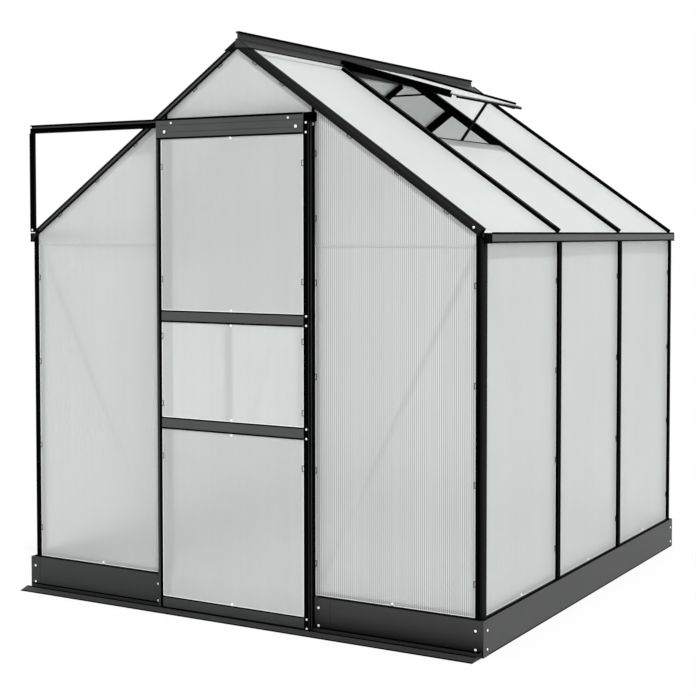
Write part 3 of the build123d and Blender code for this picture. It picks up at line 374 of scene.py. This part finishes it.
def flutedSheet(name, node, along, outward, skins, keep=None):
    bm = weldedCopy(node)
    bmesh.ops.dissolve_limit(bm, angle_limit=0.02, verts=bm.verts, edges=bm.edges)
    if keep:
        bmesh.ops.delete(bm, geom=[vert for vert in bm.verts if not keep(vert.co)], context="VERTS")
    outward = Vector(outward)
    low = min(vert.co[along] for vert in bm.verts)
    high = max(vert.co[along] for vert in bm.verts)
    half = fluteSizes["pitch"] / 2
    dip = fluteSizes["clearDip"] if skins[0] == clearSheet else fluteSizes["dip"]
    across = Vector((0, 0, 0))
    across[along] = 1
    for number in range(1, int((high - low) / half)):
        geom = bm.verts[:] + bm.edges[:] + bm.faces[:]
        cut = across * (low + number * half)
        bmesh.ops.bisect_plane(bm, geom=geom, dist=1e-7, plane_co=cut, plane_no=across)
    flute = bm.verts.layers.float.new("flute")
    streak = bm.verts.layers.float.new("streak")
    bm.normal_update()
    for vert in bm.verts:
        number = (vert.co[along] - low) / half
        between = abs(number - round(number)) < 0.01 and round(number) % 2 == 1
        wave = math.sin(number / 5.7) + math.sin(number * 0.61 + 1.3) + math.sin(number * 0.073)
        vert[flute] = 1.0 if between else 0.0
        vert[streak] = min(max(0.5 + wave / 4.5, 0.0), 1.0)
        skin = [face for face in vert.link_faces if abs(face.normal.dot(outward)) > 0.9]
        if between and skin:
            vert.co -= skin[0].normal * dip
    for face in bm.faces:
        face.material_index = 0 if face.normal.dot(outward) > 0.5 else 1
    piece = putPiece(name, bm, skins, bodyOf[node])
    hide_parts(node)


slope = math.radians(35)
rightUp = (math.sin(slope), 0, math.cos(slope))
leftUp = (-math.sin(slope), 0, math.cos(slope))


# reach of a node's faces across the slope, on one side of the ridge
def slopeReach(node, upward, sign, outward):
    mesh = nodes[node].data
    faces = [face for face in mesh.polygons if face.normal.dot(Vector(outward)) > 0.9]
    points = [mesh.vertices[number].co for face in faces for number in face.vertices]
    reach = [point.dot(Vector(upward)) for point in points if point.x * sign > 0.1]
    return min(reach), max(reach)


# front rafters: painted light and shade across the right rafter's face, dark at its lower edge, palest near
# its top, dark again at the top edge
rafterStops = ((0.05, 0.0014), (0.25, 0.003), (0.5, 0.009), (0.9, 0.013), (0.99, 0.003))
rafterReach = slopeReach("front_rafters", rightUp, 1, (0, -1, 0))
rafterCoat = changingCoat("rafterCoat", byPlace, rightUp, rafterReach, rafterStops, 0.04)
lidLow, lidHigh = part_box("vent_panel")
lidUp = Vector((lidHigh[2] - lidLow[2], 0, lidHigh[0] - lidLow[0])).normalized()
railBoxes = sorted(solidBoxes("door_cross_rails"), key=lambda box: box[0].z)
lowerSplit, upperSplit = railBoxes[1][0].z, railBoxes[2][0].z
gableSplit = 0.31
sheetPlan = [
    ("rightWallSheets", "right_wall_panels", 1, (1, 0, 0), wallSheet, None),
    ("leftWallSheets", "left_wall_panels", 1, (-1, 0, 0), wallSheet, None),
    ("frontLeftSheet", "front_wall_panels", 0, (0, -1, 0), frontSheet, lambda co: co.x < 0),
    ("frontRightSheet", "front_wall_panels", 0, (0, -1, 0), linedSheet, lambda co: co.x > 0),
    ("gableLeftSheets", "front_gable_panels", 0, (0, -1, 0), wallSheet, lambda co: co.x < gableSplit),
    ("gableRightSheet", "front_gable_panels", 0, (0, -1, 0), linedSheet, lambda co: co.x > gableSplit),
    ("rearWallSheets", "rear_wall_panels", 0, (0, 1, 0), frontSheet, None),
    ("rearGableSheets", "rear_gable_panels", 0, (0, 1, 0), frontSheet, None),
    ("rightRoofSheets", "right_roof_panels", 1, rightUp, roofSheet, None),
    ("leftRoofSheets", "left_roof_panels", 1, leftUp, roofSheet, None),
    ("ventLidSheet", "vent_panel", 1, lidUp, roofSheet, None),
    ("doorLowerSheet", "door_panels", 0, (0, -1, 0), doorSheet, lambda co: co.z < lowerSplit),
    ("doorMiddleSheet", "door_panels", 0, (0, -1, 0), clearSheet,
     lambda co: lowerSplit < co.z < upperSplit),
    ("doorUpperSheet", "door_panels", 0, (0, -1, 0), doorSheet, lambda co: co.z > upperSplit),
]
for name, node, along, outward, skin, keep in sheetPlan:
    flutedSheet(name, node, along, outward, (skin, clearSkin if skin == clearSheet else hazySkin), keep)
print("sheets cut along their flutes")


# half-round bead from start to end, standing out along outward
def addBead(bm, start, end, outward, width, proud, steps=5):
    start, end, outward = Vector(start), Vector(end), Vector(outward).normalized()
    across = (end - start).normalized().cross(outward)
    rings = []
    for point in (start, end):
        ring = []
        for step in range(steps + 1):
            turn = math.pi * step / steps
            offset = across * (math.cos(turn) * width / 2) + outward * (math.sin(turn) * proud)
            ring.append(bm.verts.new(point + offset))
        rings.append(ring)
    for step in range(steps):
        bm.faces.new((rings[0][step], rings[0][step + 1], rings[1][step + 1], rings[1][step]))
    bm.faces.new((rings[0][0], rings[1][0], rings[1][-1], rings[0][-1]))
    bm.faces.new(rings[0][::-1])
    bm.faces.new(rings[1])


def beadPiece(name, beads, finish, body):
    bm = bmesh.new()
    for bead in beads:
        addBead(bm, *bead)
    bmesh.ops.recalc_face_normals(bm, faces=bm.faces)
    return putPiece(name, bm, [finish], body)


# rolled lips of the gutters, in black: painted shade lines along the gutter's top and bottom edges
gutterShadeLips = {"topWidth": 0.0072, "topDrop": 0.0006, "lowWidth": 0.0056, "lowRise": 0.0026, "proud": 0.0010,
              "frontInset": 0.045}
beads = []
for node, sign in (("right_gutter", 1), ("left_gutter", -1)):
    low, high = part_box(node)
    face = high[0] if sign > 0 else low[0]
    top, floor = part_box("gutter_end_caps")[1][2], low[2]
    topLip = top - gutterShadeLips["topDrop"], gutterShadeLips["topWidth"]
    lowLip = floor + gutterShadeLips["lowRise"], gutterShadeLips["lowWidth"]
    for level, width in (topLip, lowLip):
        ends = (face, low[1] + gutterShadeLips["frontInset"], level), (face, high[1], level)
        beads.append((*ends, (sign, 0, 0), width, gutterShadeLips["proud"]))
beadPiece("gutterShadeLips", beads, capAndShadeCoat, "frame")

# rolled lips of the door's rails and header, in black: painted shade lines along their top and bottom edges
railShadeLips = {"railTop": 0.0042, "railLow": 0.0060, "headTop": 0.0078, "headLow": 0.0062, "proud": 0.0008,
            "inset": 0.001, "headAbove": 0.3}
beads = []
for low, high in railBoxes + solidBoxes("door_top_rail"):
    part = "head" if low.z > upperSplit + railShadeLips["headAbove"] else "rail"
    foot, top = railShadeLips[part + "Low"], railShadeLips[part + "Top"]
    for level, width in ((low.z + foot / 2, foot), (high.z - top / 2, top)):
        ends = (low.x + railShadeLips["inset"], low.y, level), (high.x - railShadeLips["inset"], low.y, level)
        beads.append((*ends, (0, -1, 0), width, railShadeLips["proud"]))
beadPiece("doorRailShadeLips", beads, capAndShadeCoat, "door")

# black strip on the flange between the base plates and the sheets: painted shade along the foot of the sheets
flangeShadeSizes = {"width": 0.0150, "proud": 0.0012, "inset": 0.0085}
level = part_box("base_right_plate")[1][2]
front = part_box("base_front_right_plate")[0][1] + flangeShadeSizes["inset"]
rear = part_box("base_rear_plate")[1][1] - flangeShadeSizes["inset"]
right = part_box("base_right_plate")[1][0] - flangeShadeSizes["inset"]
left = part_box("base_left_plate")[0][0] + flangeShadeSizes["inset"]
gateRight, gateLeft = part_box("base_front_right_plate")[0][0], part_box("base_front_left_plate")[1][0]
flangeShadeRuns = [
    ((gateRight, front), (right, front)),
    ((left, front), (gateLeft, front)),
    ((right, front), (right, rear)),
    ((left, front), (left, rear)),
    ((left, rear), (right, rear)),
]
beads = []
for begin, stop in flangeShadeRuns:
    beads.append(((*begin, level), (*stop, level), (0, 0, 1), flangeShadeSizes["width"], flangeShadeSizes["proud"]))
beadPiece("baseFlangeShadeStrips", beads, capAndShadeCoat, "frame")

# black strip along the lower edge of the side and rear plates: painted contact shadow
contactShadeSizes = {"level": 0.0024, "width": 0.0046, "proud": 0.0006, "inset": 0.003}
rightFace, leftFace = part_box("base_right_plate")[1][0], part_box("base_left_plate")[0][0]
sideFront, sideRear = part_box("base_right_plate")[0][1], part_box("base_right_plate")[1][1]
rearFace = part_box("base_rear_plate")[1][1]
contactShadeRuns = [
    ((rightFace, sideFront + contactShadeSizes["inset"]), (rightFace, sideRear - contactShadeSizes["inset"]), (1, 0, 0)),
    ((leftFace, sideFront + contactShadeSizes["inset"]), (leftFace, sideRear - contactShadeSizes["inset"]), (-1, 0, 0)),
    ((leftFace + contactShadeSizes["inset"], rearFace), (rightFace - contactShadeSizes["inset"], rearFace), (0, 1, 0)),
]
beads = []
for begin, stop, outward in contactShadeRuns:
    ends = (*begin, contactShadeSizes["level"]), (*stop, contactShadeSizes["level"])
    beads.append((*ends, outward, contactShadeSizes["width"], contactShadeSizes["proud"]))
beadPiece("baseContactShadeStrips", beads, capAndShadeCoat, "frame")

# black beads on the threshold: painted shade on its upstand and along the edges of its ramp
sillLow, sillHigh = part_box("door_sill_track")
sillInset = 0.003
sillShadeLines = [  # depth, height, facing, width, proud
    (sillHigh[1] - 0.0030, 0.0166, (0, -1, 0), 0.0042, 0.0008),
    (sillHigh[1] - 0.0017, sillHigh[2], (0, 0, 1), 0.0032, 0.0006),
    (sillLow[1] + 0.0368, 0.0112, (0, -0.25, 0.97), 0.0076, 0.0007),
    (sillLow[1] + 0.0006, 0.0023, (0, -1, 0.3), 0.0042, 0.0006),
]
beads = []
for back, level, outward, width, proud in sillShadeLines:
    ends = (sillLow[0] + sillInset, back, level), (sillHigh[0] - sillInset, back, level)
    beads.append((*ends, outward, width, proud))
beadPiece("sillShadeLines", beads, capAndShadeCoat, "frame")

# pressed ribs of the stiles and the upper track, in pale coats: painted highlights along them
stileRibs = {"side": 0.0044, "sideBack": 0.0104, "left": 0.0092, "leftInset": 0.0054, "face": 0.0026,
             "faceInset": 0.0042, "proud": 0.0007}
stileLow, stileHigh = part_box("door_right_stile")
leftLow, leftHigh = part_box("door_left_stile")


def uprightRun(across, back, foot, top):
    return (across, back, foot), (across, back, top)


sideRun = uprightRun(stileHigh[0], stileLow[1] + stileRibs["sideBack"], stileLow[2], stileHigh[2])
leftRun = uprightRun(leftLow[0] + stileRibs["leftInset"], leftLow[1], leftLow[2], leftHigh[2])
faceRun = uprightRun(stileHigh[0] - stileRibs["faceInset"], stileLow[1], stileLow[2], stileHigh[2])
ribs = [
    (*sideRun, (1, 0, 0), stileRibs["side"], stileRibs["proud"]),
    (*leftRun, (0, -1, 0), stileRibs["left"], stileRibs["proud"]),
]
beadPiece("stileRibs", ribs, ribHighlightCoat, "door")
ribs = [(*faceRun, (0, -1, 0), stileRibs["face"], stileRibs["proud"])]
beadPiece("stileFaceRib", ribs, dimRibHighlightCoat, "door")

trackRib = {"width": 0.0052, "proud": 0.0007, "drop": 0.0103, "endInset": 0.0130, "doorGap": 0.001}
trackLow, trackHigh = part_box("upper_door_track")
level = trackHigh[2] - trackRib["drop"]
begin = (trackLow[0] + trackRib["endInset"], trackLow[1], level)
stop = (leftLow[0] - trackRib["doorGap"], trackLow[1], level)
ribs = [(begin, stop, (0, -1, 0), trackRib["width"], trackRib["proud"])]
beadPiece("trackRib", ribs, ribHighlightCoat, "frame")


# point on a roof plane, a given reach out along upward
def onSlope(across, back, upward, reach):
    return Vector((across, back, (reach - across * upward[0]) / upward[2]))


# ribs of the left rafter and the roof bars, in pale coats: painted highlights along their grooves
slopeRibs = {"rafter": 0.0064, "rafterShare": 0.62, "rafterFrom": -0.915, "rafterTo": -0.030,
             "bar": 0.0060, "barBack": 0.0080, "barInset": 0.02, "proud": 0.0007}
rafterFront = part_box("front_rafters")[0][1]
reachLow, reachHigh = slopeReach("front_rafters", leftUp, -1, (0, -1, 0))
groove = reachLow + (reachHigh - reachLow) * slopeRibs["rafterShare"]
ends = [onSlope(slopeRibs[end], rafterFront, leftUp, groove) for end in ("rafterFrom", "rafterTo")]
ribs = [(*ends, (0, -1, 0), slopeRibs["rafter"], slopeRibs["proud"])]
beadPiece("leftRafterRib", ribs, brightRibHighlightCoat, "frame")
ribs = []
for node, upward, sign in (("right_roof_bars", rightUp, 1), ("left_roof_bars", leftUp, -1)):
    top = slopeReach(node, upward, sign, upward)[1]
    for low, high in solidBoxes(node):
        back = (low.y + high.y) / 2 - slopeRibs["barBack"]
        spots = low.x + slopeRibs["barInset"], high.x - slopeRibs["barInset"]
        ends = [onSlope(spot, back, upward, top) for spot in spots]
        ribs.append((*ends, upward, slopeRibs["bar"], slopeRibs["proud"]))
beadPiece("roofBarRibs", ribs, ribHighlightCoat, "frame")

# rolled lips of the ridge in black, painted shade lines under its crest and along its wing edges, and the
# pale seals between its wings and the roof sheets
ridgeShadeLips = {"crestWidth": 0.0075, "crestHalf": 0.006, "crestDrop": 0.0036, "wingWidth": 0.0070,
             "wingBack": 0.0035, "wingFoot": 1.9880, "proud": 0.0010}
ridgeSeal = {"width": 0.0150, "proud": 0.0016, "drop": 0.0099, "back": 0.0015, "inset": 0.02}
low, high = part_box("ridge_beam")
ventLow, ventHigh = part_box("vent_hinge_bar")
crest = high[2] - ridgeShadeLips["crestDrop"]
wingFoot = Vector((high[0], 0, ridgeShadeLips["wingFoot"]))
beads = []
seals = []
for sign in (1, -1):
    down = Vector((sign * math.cos(slope), 0, -math.sin(slope)))
    upward = Vector((sign * math.sin(slope), 0, math.cos(slope)))
    side = sign * ridgeShadeLips["crestHalf"]
    crestEnds = (side, low[1], crest), (side, high[1], crest)
    beads.append((*crestEnds, (sign, 0, 0), ridgeShadeLips["crestWidth"], ridgeShadeLips["proud"]))
    foot = Vector((sign * wingFoot.x, 0, wingFoot.z))
    edge = foot - down * ridgeShadeLips["wingBack"]
    gap = foot - down * ridgeSeal["back"] - upward * ridgeSeal["drop"]
    runs = ((low[1], ventLow[1]), (ventHigh[1], high[1])) if sign > 0 else ((low[1], high[1]),)
    for begin, stop in runs:
        ends = edge + Vector((0, begin, 0)), edge + Vector((0, stop, 0))
        beads.append((*ends, upward, ridgeShadeLips["wingWidth"], ridgeShadeLips["proud"]))
        spots = begin + ridgeSeal["inset"], stop - ridgeSeal["inset"]
        ends = [gap + Vector((0, back, 0)) for back in spots]
        seals.append((*ends, down, ridgeSeal["width"], ridgeSeal["proud"]))
beadPiece("ridgeSeals", seals, edgeTape, "frame")
beadPiece("ridgeShadeLips", beads, capAndShadeCoat, "frame")

# lap plates at the ridge's ends, flat on the mitre of the gable rafters
lapPlate = {"half": 0.0495, "mitre": 0.0050, "top": 2.0262, "foot": 1.9910, "corner": 0.0008,
            "rise": 0.0040, "gauge": 0.0012, "chamfer": 0.0005}
half, foot, top = lapPlate["half"], lapPlate["foot"], lapPlate["top"]
outline = ((-lapPlate["mitre"], foot + lapPlate["rise"]), (half, foot), (half, foot + lapPlate["corner"]),
           (0, top), (-lapPlate["mitre"], top - lapPlate["rise"]))
heart = Vector((half / 2, 0, (foot + top) / 2))
face = lapPlate["gauge"] - lapPlate["chamfer"]
layers = ((0, 1), (face, 1), (lapPlate["gauge"], 1 - 2 * lapPlate["chamfer"] / half))
bm = bmesh.new()
for back, sign in ((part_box("front_rafters")[0][1], -1), (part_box("rear_rafters")[1][1], 1)):
    rings = []
    for depth, share in layers:
        lift = Vector((0, back + sign * depth, 0))
        rings.append([bm.verts.new(heart + (Vector((across, 0, height)) - heart) * share + lift)
                      for across, height in outline])
    for lower, upper in zip(rings, rings[1:]):
        for number in range(len(outline)):
            after = (number + 1) % len(outline)
            bm.faces.new((lower[number], lower[after], upper[after], upper[number]))
    bm.faces.new(rings[0])
    bm.faces.new(rings[-1])
bmesh.ops.recalc_face_normals(bm, faces=bm.faces)
putPiece("ridgeLapPlates", bm, [ridgeCoat], "frame")
print("lips, seals and ribs set")

# pale tape that closes the cut edges of the sheets
tapeSizes = {"width": 0.0026, "proud": 0.0006, "inset": 0.0014, "endInset": 0.001, "footInset": 0.004,
             "steps": 3}
eavesTape = {"width": 0.0050, "proud": 0.0008, "back": 0.0040, "rise": 0.0058, "endInset": 0.002,
             "slopeInset": 0.006}


def tapeRuns(node, along, outward):
    runs = []
    face = 0 if outward[0] else 1
    for low, high in solidBoxes(node):
        level = high[face] if outward[face] > 0 else low[face]
        for spot in (low[along] + tapeSizes["inset"], high[along] - tapeSizes["inset"]):
            ends = []
            for height in (low.z + tapeSizes["endInset"], high.z - tapeSizes["endInset"]):
                point = Vector((0, 0, height))
                point[face], point[along] = level, spot
                ends.append(point)
            runs.append((*ends, outward, tapeSizes["width"], tapeSizes["proud"], tapeSizes["steps"]))
        foot = [Vector((0, 0, low.z + tapeSizes["inset"])) for end in range(2)]
        spots = low[along] + tapeSizes["footInset"], high[along] - tapeSizes["footInset"]
        for point, spot in zip(foot, spots):
            point[face], point[along] = level, spot
        runs.append((*foot, outward, tapeSizes["width"], tapeSizes["proud"], tapeSizes["steps"]))
    return runs


tapes = tapeRuns("right_wall_panels", 1, (1, 0, 0)) + tapeRuns("left_wall_panels", 1, (-1, 0, 0))
tapes += tapeRuns("front_wall_panels", 0, (0, -1, 0)) + tapeRuns("rear_wall_panels", 0, (0, 1, 0))
for node, sign in (("right_roof_panels", 1), ("left_roof_panels", -1)):
    for low, high in solidBoxes(node):
        outer = high.x if sign > 0 else low.x
        foot = Vector((outer - sign * eavesTape["back"], 0, low.z + eavesTape["rise"]))
        spots = low.y + eavesTape["endInset"], high.y - eavesTape["endInset"]
        ends = [foot + Vector((0, back, 0)) for back in spots]
        upward = rightUp if sign > 0 else leftUp
        tapes.append((*ends, upward, eavesTape["width"], eavesTape["proud"], tapeSizes["steps"]))
        top = slopeReach(node, upward, sign, upward)[1]
        for back in (low.y + tapeSizes["inset"], high.y - tapeSizes["inset"]):
            spots = low.x + eavesTape["slopeInset"], high.x - eavesTape["slopeInset"]
            ends = [onSlope(spot, back, upward, top) for spot in spots]
            tapes.append((*ends, upward, tapeSizes["width"], tapeSizes["proud"], tapeSizes["steps"]))
beadPiece("wallSheetTapes", tapes, edgeTape, "frame")
beadPiece("doorSheetTapes", tapeRuns("door_panels", 0, (0, -1, 0)), edgeTape, "door")
print("sheet edges taped")


# round or six-sided head turned from its profile, on the axis outward
def addTurned(bm, centre, outward, profile, sides, index):
    outward = Vector(outward)
    turn = outward.to_track_quat("Z", "Y").to_matrix()
    rings = []
    for radius, height in profile:
        ring = []
        for side in range(sides):
            angle = 2 * math.pi * side / sides
            offset = Vector((radius * math.cos(angle), radius * math.sin(angle), height))
            ring.append(bm.verts.new(Vector(centre) + turn @ offset))
        rings.append(ring)
    for lower, upper in zip(rings, rings[1:]):
        for side in range(sides):
            after = (side + 1) % sides
            bm.faces.new((lower[side], lower[after], upper[after], upper[side])).material_index = index
    bm.faces.new(rings[0][::-1]).material_index = index
    bm.faces.new(rings[-1]).material_index = index


# the black ring under each bolt head is painted shadow around the bolt
boltHead = {"shadowRing": 1.32, "shadowRingGauge": 0.0007, "height": 0.0032}
middle = Vector((0, 0.034, 0))


# outward side of a fastener: along its thin axis, away from the middle of the greenhouse
def facing(low, high):
    size = high - low
    axis = min(range(3), key=lambda one: size[one])
    outward = Vector((0, 0, 0))
    outward[axis] = 1 if (low + high)[axis] / 2 > middle[axis] else -1
    return outward


def boltPiece(name, spots, sides, body, stands):
    bm = bmesh.new()
    for foot, outward, radius in spots:
        gauge, tall = boltHead["shadowRingGauge"], boltHead["height"]
        ring = radius * boltHead["shadowRing"]
        # black ring under the head: painted shadow
        addTurned(bm, foot, outward, ((ring, 0), (ring, gauge * 0.6), (ring * 0.93, gauge)), 16, 1)
        head = ((radius * 0.98, gauge), (radius, gauge * 1.8), (radius * 0.96, tall * 0.62),
                (radius * 0.72, tall * 0.9), (radius * 0.36, tall), (radius * 0.30, tall * 0.82))
        addTurned(bm, foot, outward, head, sides, 0)
    piece = putPiece(name, bm, [zincHead, capAndShadeCoat], body)
    if stands:
        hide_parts(stands)


def boltSpots(node, radiusFor):
    spots = []
    for low, high in solidBoxes(node):
        outward = facing(low, high)
        centre = (low + high) / 2
        axis = max(range(3), key=lambda one: abs(outward[one]))
        foot = centre - outward * ((high - low)[axis] / 2)
        spots.append((foot, outward, radiusFor(centre)))
    return spots


# head radius of each kind, with larger ones at the upper right of the frame and on the left of the door
boltSizes = {"base": 0.0052, "frame": 0.0044, "frameHigh": 0.0062, "highFrom": 1.6, "door": 0.0038,
             "doorLeft": 0.0060, "rightFrom": 0.3}


def frameRadius(spot):
    high = spot.z > boltSizes["highFrom"] and spot.x > boltSizes["rightFrom"]
    return boltSizes["frameHigh"] if high else boltSizes["frame"]


def doorRadius(spot):
    return boltSizes["doorLeft"] if spot.x < boltSizes["rightFrom"] else boltSizes["door"]


baseBolts = boltSpots("base_bolts", lambda spot: boltSizes["base"])
boltPiece("baseBoltHeads", baseBolts, 6, "frame", "base_bolts")
boltPiece("frameBoltHeads", boltSpots("frame_bolts", frameRadius), 12, "frame", "frame_bolts")
boltPiece("doorBoltHeads", boltSpots("door_bolts", doorRadius), 14, "door", "door_bolts")

# bolt that hangs the track's free end on its post
endBolt = {"radius": 0.0040, "inset": 0.0062, "drop": 0.0090}
spot = Vector((trackLow[0] + endBolt["inset"], trackLow[1], trackHigh[2] - endBolt["drop"]))
boltPiece("trackEndBolt", [(spot, Vector((0, -1, 0)), endBolt["radius"])], 12, "frame", None)

pegSizes = {"radius": 0.0054, "height": 0.0036}


def pegPiece(name, node, body):
    bm = bmesh.new()
    radius, tall = pegSizes["radius"], pegSizes["height"]
    dome = ((radius, 0), (radius, tall * 0.25), (radius * 0.86, tall * 0.62),
            (radius * 0.5, tall * 0.93), (radius * 0.12, tall))
    for low, high in solidBoxes(node):
        outward = facing(low, high)
        axis = max(range(3), key=lambda one: abs(outward[one]))
        foot = (low + high) / 2 - outward * ((high - low)[axis] / 2)
        addTurned(bm, foot, outward, dome, 16, 0)
    piece = putPiece(name, bm, [whitePeg], body)
    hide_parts(node)


pegPiece("wallPegs", "panel_pegs", "frame")
pegPiece("doorPegs", "door_pegs", "door")
print("bolts and pegs set")

# finishes of the CAD nodes that stay, with softened edges on the bars
nodeFinish = [
    (blackCoat, ["right_wall_studs", "left_wall_studs", "rear_wall_studs", "right_door_jamb",
                 "left_door_jamb", "door_lintel", "floor_bars", "rear_rafters", "right_roof_bars",
                 "left_roof_bars", "ridge_ties", "vent_sill_bar", "upper_door_track", "track_hanger_post",
                 "door_left_stile", "door_right_stile", "vent_hinge_bar", "vent_frame_bars", "vent_stay"]),
    (postCoat, ["front_right_post", "front_left_post", "rear_right_post", "rear_left_post"]),
    (rafterCoat, ["front_rafters"]),
    (capAndShadeCoat, ["gutter_end_caps"]),
    (sillCoat, ["door_sill_track"]),
    (railCoat, ["door_top_rail", "door_cross_rails"]),
    (gutterCoat, ["right_gutter", "left_gutter"]),
    (ridgeCoat, ["ridge_beam"]),
    (frontBaseCoat, ["base_front_right_plate", "base_front_left_plate", "base_end_brackets"]),
    (sideBaseCoat, ["base_rear_plate", "base_right_plate", "base_left_plate"]),
    (braceMetal, ["wall_braces"]),
    (frontSheet, ["panel_joint_strips"]),
    (wireMetal, ["wall_clips", "door_clips"]),
    (zincHead, ["roller_axles"]),
    (runnerPlastic, ["left_roller", "right_roller", "door_guides"]),
]
edgeSizes = {"bars": 0.0012, "wire": 0.0004, "weld": 0.00001, "flatBelow": 2, "softAbove": 35}
softened = (blackCoat, postCoat, rafterCoat, sillCoat, railCoat, gutterCoat, ridgeCoat, wireMetal)
for finish, names in nodeFinish:
    for node in names:
        piece = nodes[node]
        piece.data.materials.clear()
        piece.data.materials.append(finish)
        if finish in softened:
            weld = piece.modifiers.new("weld", "WELD")
            weld.merge_threshold = edgeSizes["weld"]
            flat = piece.modifiers.new("flat", "DECIMATE")
            flat.decimate_type = "DISSOLVE"
            flat.angle_limit = math.radians(edgeSizes["flatBelow"])
            soft = piece.modifiers.new("softEdge", "BEVEL")
            soft.width = edgeSizes["wire"] if finish == wireMetal else edgeSizes["bars"]
            soft.segments = 2
            soft.limit_method = "ANGLE"
            soft.angle_limit = math.radians(edgeSizes["softAbove"])
            # the bevels of the black bars take the paler coat: painted highlights along the edges
            if finish in (blackCoat, postCoat):
                piece.data.materials.append(edgeHighlightCoat)
                soft.material = 1
print("CAD nodes finished")

# camera at the photograph's place
view = {"place": (2.8891, -5.0496, 1.352), "tilt": 2.310, "turn": 29.576, "lens": 74.72, "sensor": 36,
        "shift": (-0.0350, -0.0811)}
cameraData = bpy.data.cameras.new("gardenCamera")
cameraData.lens = view["lens"]
cameraData.sensor_width = view["sensor"]
cameraData.shift_x, cameraData.shift_y = view["shift"]
camera = bpy.data.objects.new("gardenCamera", cameraData)
camera.location = view["place"]
camera.rotation_euler = (math.radians(90 - view["tilt"]), 0, math.radians(view["turn"]))
scene.collection.objects.link(camera)
scene.camera = camera

# light: even white surroundings and one high lamp that draws the eaves' shadow
light = {"surround": 0.78, "sun": 2.0, "sunFrom": (0.321, -0.321, 0.891), "sunSize": 3.0}


# 1 for rays that show the background: straight, mirrored or through a sheet
def seenRays(tree):
    path = addNode(tree, "ShaderNodeLightPath")
    seen = path.outputs["Is Camera Ray"]
    for kind in ("Is Glossy Ray", "Is Transmission Ray"):
        seen = joined(tree, "MAXIMUM", seen, path.outputs[kind])
    return seen


world = bpy.data.worlds.new("studioWhite")
scene.world = world
world.use_nodes = True
tree = world.node_tree
shown = tree.nodes["Background"]
shown.inputs["Color"].default_value = (1, 1, 1, 1)
lit = addNode(tree, "ShaderNodeBackground", values={"Color": (1, 1, 1, 1), "Strength": light["surround"]})
choose = addNode(tree, "ShaderNodeMixShader")
tree.links.new(seenRays(tree), choose.inputs["Fac"])
tree.links.new(lit.outputs[0], choose.inputs[1])
tree.links.new(shown.outputs[0], choose.inputs[2])
tree.links.new(choose.outputs[0], tree.nodes["World Output"].inputs["Surface"])
sunData = bpy.data.lights.new("highLamp", "SUN")
sunData.energy = light["sun"]
sunData.angle = math.radians(light["sunSize"])
sun = bpy.data.objects.new("highLamp", sunData)
sun.rotation_euler = Vector(light["sunFrom"]).to_track_quat("Z", "Y").to_euler()
scene.collection.objects.link(sun)

# floor: a wide pale disc that fades into the white around it
floorSize = {"radius": 14.0, "segments": 96, "drop": 0.0006}
floorLook = {"tones": ((0.3, 0.78), (0.7, 0.80)), "cloudScale": 3.0, "rough": 0.9, "nearWhite": 0.86,
             "fade": (1.3, 3.2), "doorstep": (0.90, 0.96)}
bm = bmesh.new()
bmesh.ops.create_circle(bm, cap_ends=True, segments=floorSize["segments"], radius=floorSize["radius"])
bmesh.ops.translate(bm, verts=bm.verts, vec=(0, 0, -floorSize["drop"]))
floorMesh = bpy.data.meshes.new("paleFloor")
bm.to_mesh(floorMesh)
bm.free()
floorPiece = bpy.data.objects.new("paleFloor", floorMesh)
scene.collection.objects.link(floorPiece)
floorFinish, tree, shader = newFinish("paleFloorFinish")
place = addNode(tree, "ShaderNodeTexCoord").outputs["Object"]
cloud = noise(tree, place, floorLook["cloudScale"], 2.0)
tree.links.new(ramp(tree, cloud, floorLook["tones"]), shader.inputs["Base Color"])
shader.inputs["Roughness"].default_value = floorLook["rough"]
glow = addNode(tree, "ShaderNodeEmission", values={"Color": (1, 1, 1, 1)})
away = addNode(tree, "ShaderNodeVectorMath", {"operation": "LENGTH"})
tree.links.new(place, away.inputs[0])
fade = spread(tree, away.outputs["Value"], *floorLook["fade"], floorLook["nearWhite"], 1.0)
parts = addNode(tree, "ShaderNodeSeparateXYZ")
tree.links.new(place, parts.inputs[0])
sideways = joined(tree, "ABSOLUTE", parts.outputs["X"])
lengthways = joined(tree, "ABSOLUTE", parts.outputs["Y"])
reach = joined(tree, "MAXIMUM", sideways, lengthways)
outdoors = spread(tree, reach, *floorLook["doorstep"])  # indoors the floor shows only the light on it
watched = joined(tree, "MULTIPLY", joined(tree, "MULTIPLY", seenRays(tree), fade), outdoors)
mixFloor = addNode(tree, "ShaderNodeMixShader")
tree.links.new(watched, mixFloor.inputs["Fac"])
tree.links.new(shader.outputs[0], mixFloor.inputs[1])
tree.links.new(glow.outputs[0], mixFloor.inputs[2])
tree.links.new(mixFloor.outputs[0], tree.nodes["Material Output"].inputs["Surface"])
floorMesh.materials.append(floorFinish)
print("camera, light and floor set")

scene.view_settings.view_transform = "Standard"
